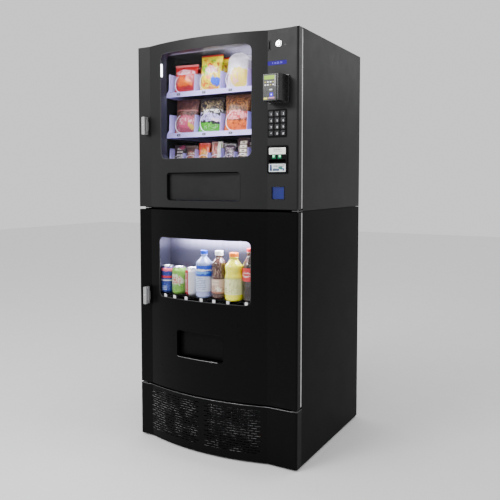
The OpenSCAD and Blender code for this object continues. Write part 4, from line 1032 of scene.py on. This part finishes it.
# the key digits are print, set off towards the lower right and pale, so they also stand in as painted
# glints on the keys
for k, ch in enumerate("123456789*0#"):
    key = {"*": "star", "#": "hash"}.get(ch, ch)
    kx, kz = CX + 2 + (k % 3 - 1) * KEY_STEP_X, KEYPAD_Z + (1.5 - k // 3) * KEY_STEP_Z
    lettering("digit_" + key, ch, (kx + 1.5, -4.7, kz - 2.5), 12, KEY_INK_GLINT, "key_" + key, depth=0.35)
lettering("display_digits", "5 10 25 50", (CX, 0.32, DISPLAY_Z - 0.5), 10.5, LCD_INK, SD, depth=0.1)


def plate(name, origin, x0, x1, z0, z1, proud, mat, r, sunk=0.4):
    """A thin label or lens on a face of the snack door; origin is x and z of its middle, and y."""
    cx, cz, face = origin
    block(name, (cx + x0, face - proud, cz + z0), (cx + x1, face + sunk, cz + z1), mat, SD, r=r)


# the card reader's face
ON_READER = (CX + 10, READER_Z, -68)
plate("reader_lcd", ON_READER, -31, 14, 30, 45, 0.25, LCD_LIME, 0.4, 0.5)
# the white buttons and the face line take the glowing clip white, a little painted light
for j in range(4):
    for k in range(2):
        x, z = 11.5 * j - 26, 20 - 11 * k
        tint = CLIP_GLOWING if (j + k) % 3 else surface(f"button_tint_{j}_{k}", (0.5, 0.42, 0.08), rough=0.35)
        plate(f"reader_button_{j}_{k}", ON_READER, x - 3.4, x + 3.4, z - 2.2, z + 2.2, 0.4, tint, 0.9, 0.5)
plate("reader_face_line", ON_READER, 15.5, 17, 2, 44, 0.15, CLIP_GLOWING, 0.2, 0.5)
plate("reader_lamp_window", ON_READER, -7, 7, -36, -22, 0.3, BLUE_LAMP, 0.38, 0.5)
LAMP_CORE = glowing("lamp_core", (0.7, 0.7, 1), 2)
plate("reader_lamp_core", ON_READER, -2, 2.5, -31, -26.5, 0.4, LAMP_CORE, 0.4, 0.5)

# a mark on the coin return button; the lit strip on the left reveal of the upper window
screw("coin_button_mark", (CX + 8, -6.3, 1717), (0, -1, 0), DARK_INK, "coin_button", r=3.6, drop=0.5)
reveal_y = bow(-262)
lo, hi = (-263.4, reveal_y + 7.3, 1636), (-262, reveal_y + 21, 1690)
block("reveal_light_strip", lo, hi, LAMP_SIDE, SD, r=0.5)

# labels on the reader
YELLOW_PAPER = surface("label_yellow", (0.8, 0.78, 0.1), rough=0.4)
ROSE_PAPER = art("label_rose", (0.1, 0.03, 0.07), [("lines", 5, 0.12, (0.6, 0.25, 0.4), 0, 1, 0, 1)],
                 crinkle=0)
plate("reader_label_yellow", ON_READER, -33, -17, -46, -39, 0.2, YELLOW_PAPER, 0.2)
plate("reader_label_rose", ON_READER, -13, 14, -45, -38, 0.2, ROSE_PAPER, 0.2)
plate("reader_mark", ON_READER, -8, 4, -12, -7, 0.2, WHITE_INK, 0.3)

# the bank-note validator: two printed notices, a lip under its mouth and two lamps
ON_VALIDATOR = (CX + 4, VALIDATOR_Z, -4.6)
TOP_NOTICE = art("paper_top", (1, 1, 0.95), [("rows", 3.4, 0.6, (0, 0, 0), 0.26, 0.76, 0.4, 0.95)],
    crinkle=0.05)
LOW_NOTICE = art("paper_low", (0.78, 0.84, 0.88), [
    ("box", 0.05, 0.18, 0.1, 0.9, (0, 0.02, 0.1)),
    ("rows", 3.2, 0.6, (0, 0.02, 0.03), 0.22, 0.6, 0.4, 0.95),
    ("box", 0.22, 0.62, 0.12, 0.36, (0, 0.04, 0.11)), ("blob", 0.72, 0.5, 0.14, 0.22, (0, 0.16, 0.14), 3),
    ("box", 0.82, 0.92, 0.14, 0.42, (0, 0.05, 0.22)),
    ("lines", 9, 0.06, (0.25, 0.2, 0.16), 0.6, 0.95, 0.6, 0.95),
], crinkle=0.05)
plate("validator_label_top", ON_VALIDATOR, -37, 37, 20.5, 46.5, 0, TOP_NOTICE, 0.3, 0.9)
plate("validator_label_low", ON_VALIDATOR, -37, 37, -49, -17, 0, LOW_NOTICE, 0.3, 0.9)
plate("validator_lip", ON_VALIDATOR, -40, 40, -17, -13.6, 3.4, PLASTIC, 1.4, 0.1)
for s in (-1, 1):
    lens, core = s * 12.5 - 2, s * 14 - 2
    plate(f"validator_lamp_{s + 1}", ON_VALIDATOR, lens - 8, lens + 8, 3, 19, 0.8, GREEN_DEEP, 1.2, 0)
    name = f"validator_lamp_core_{s + 1}"
    plate(name, ON_VALIDATOR, core - 4, core + 4, 9, 18, 1.1, GREEN_LAMP, 0.7, -0.4)

# coin slot, stud and the coin cup's bead
ON_SLOT = (CX - 34, TOP - 64, 0)
plate("coin_slot_plate", ON_SLOT, -6, -2.2, -20, 20, 1.4, BLACK_UP_LIT, 0.5, -0.05)
plate("coin_slot_plate_b", ON_SLOT, 2.2, 6, -20, 20, 1.4, BLACK_UP_LIT, 0.5, -0.05)
screw("strip_stud", (CX + 36, -0.05, 1710), (0, -1, 0), DARK_STEEL, SD, r=3.2)
cup_edge = outline((CX + 5, CUP_Z), 57, 53, 3.5)
tube("coin_cup_bead", [(x, -0.2, z) for x, z in cup_edge], 1.3, PLASTIC, SD, closed=True)

# ---- rear of the case: screws round each back panel, its pressed edge and a blank plate ----
REAR_Y = 700
for part, z0, z1, rows in (("lower", 22, 1040, 5), ("upper", SEAM + 17, 1764, 4)):
    spots = [(s * 388, z0 + (z1 - z0) * i / rows) for i in range(rows + 1) for s in (-1, 1)]
    spots += [(x, z) for x in (-194, 0, 194) for z in (z0, z1)]
    for i, (x, z) in enumerate(spots):
        screw(f"rear_screw_{part}_{i + 1}", (x, REAR_Y, z), (0, 1, 0), DARK_STEEL, "cabinet", drop=0.45)
    edge = outline((0, (z0 + z1) / 2), 752, z1 - z0 - 26, 8)
    # the pressed edge takes the lighter upper case copy, so on the lower panel it shows as a painted line
    # of light
    tube(f"rear_edge_{part}", [(x, REAR_Y - 0.3, z) for x, z in edge], 0.7, CASE_UP_LIT, "cabinet", closed=True)
block("rear_plate", (214, REAR_Y - 0.4, 930), (300, REAR_Y + 0.35, 985), ZINC, "cabinet", r=0.3)

# ---- stage, light, camera ----
PALE = surface("studio_floor", (0.86, 0.86, 0.86), rough=0.9, spec=0.1, vary=0.01, rough_vary=0.02)
bm = bmesh.new()
bmesh.ops.create_grid(bm, x_segments=2, y_segments=2, size=12)
floor = place("floor", mesh_from("floor", bm))
floor.data.materials.append(PALE)

world = bpy.data.worlds.new("studio")
bpy.context.scene.world = world
world.use_nodes = True
backdrop = world.node_tree.nodes["Background"]
backdrop.inputs[0].default_value = (1, 1, 1, 1)
backdrop.inputs[1].default_value = 1


def area(name, at, target, size, power, color=(1, 1, 1)):
    """A soft rectangular light at a point, facing a target; sizes in metres, power in watts."""
    lamp = bpy.data.lights.new(name, "AREA")
    lamp.shape = "RECTANGLE"
    lamp.size, lamp.size_y = size
    lamp.energy = power
    lamp.color = color
    o = place(name, lamp)
    o.location = at
    o.rotation_euler = (Vector(target) - Vector(at)).to_track_quat("-Z", "Y").to_euler()


area("key", (-2.2, -3.2, 3.2), (0, 0, 1.2), (2.4, 2.4), 60)
area("top_front", (-1, -3, 2.6), (0.1, -0.3, 1.75), (1.3, 0.6), 62)
area("top_side", (1.9, 2.9, 2.5), (0.4, 0.1, 1.7), (1.2, 0.8), 10)
area("right_front", (1.3, -3.4, 2.1), (0, -0.3, 1.45), (1.2, 1.2), 16)
# soft lights inside, near the machine's own tubes
COOL = (0.9, 0.88, 1)
area("snack_light", P(-50, 58, 1745), P(-50, 150, 1480), (0.5, 0.04), 2.7, COOL)
area("snack_light_mid", P(-50, 54, 1562), P(-50, 84, 1400), (0.5, 0.03), 1.4, COOL)
area("snack_light_low", P(-50, 56, 1374), P(-50, 80, 1250), (0.5, 0.03), 0.9, COOL)
area("snack_glow", P(60, 330, 1735), P(60, 325, 1776), (0.34, 0.4), 2.4, COOL)
area("drink_light", P(-37, -2, 925), P(-37, 5, 740), (0.44, 0.03), 3, COOL)
area("drink_glow", P(0, 62, 944), P(0, 88, 905), (0.44, 0.02), 2.2, COOL)

# camera at the photograph's viewing angle, for a 500 x 500 frame
SENSOR, FRAME_PX = 36, 500
FOCAL_PX, SHIFT_PX = 616.95, -28
cam = bpy.data.cameras.new("camera")
cam.sensor_width = SENSOR
cam.lens = FOCAL_PX / FRAME_PX * SENSOR
cam.shift_y = SHIFT_PX / FRAME_PX
cam.clip_start = 0.05
camera = place("camera", cam)
camera.location = (1.4392, -2.1994 + FRONT_Y, 1.1632)
camera.rotation_euler = (math.pi / 2 - 0.061, 0, 0.5187)
bpy.context.scene.camera = camera
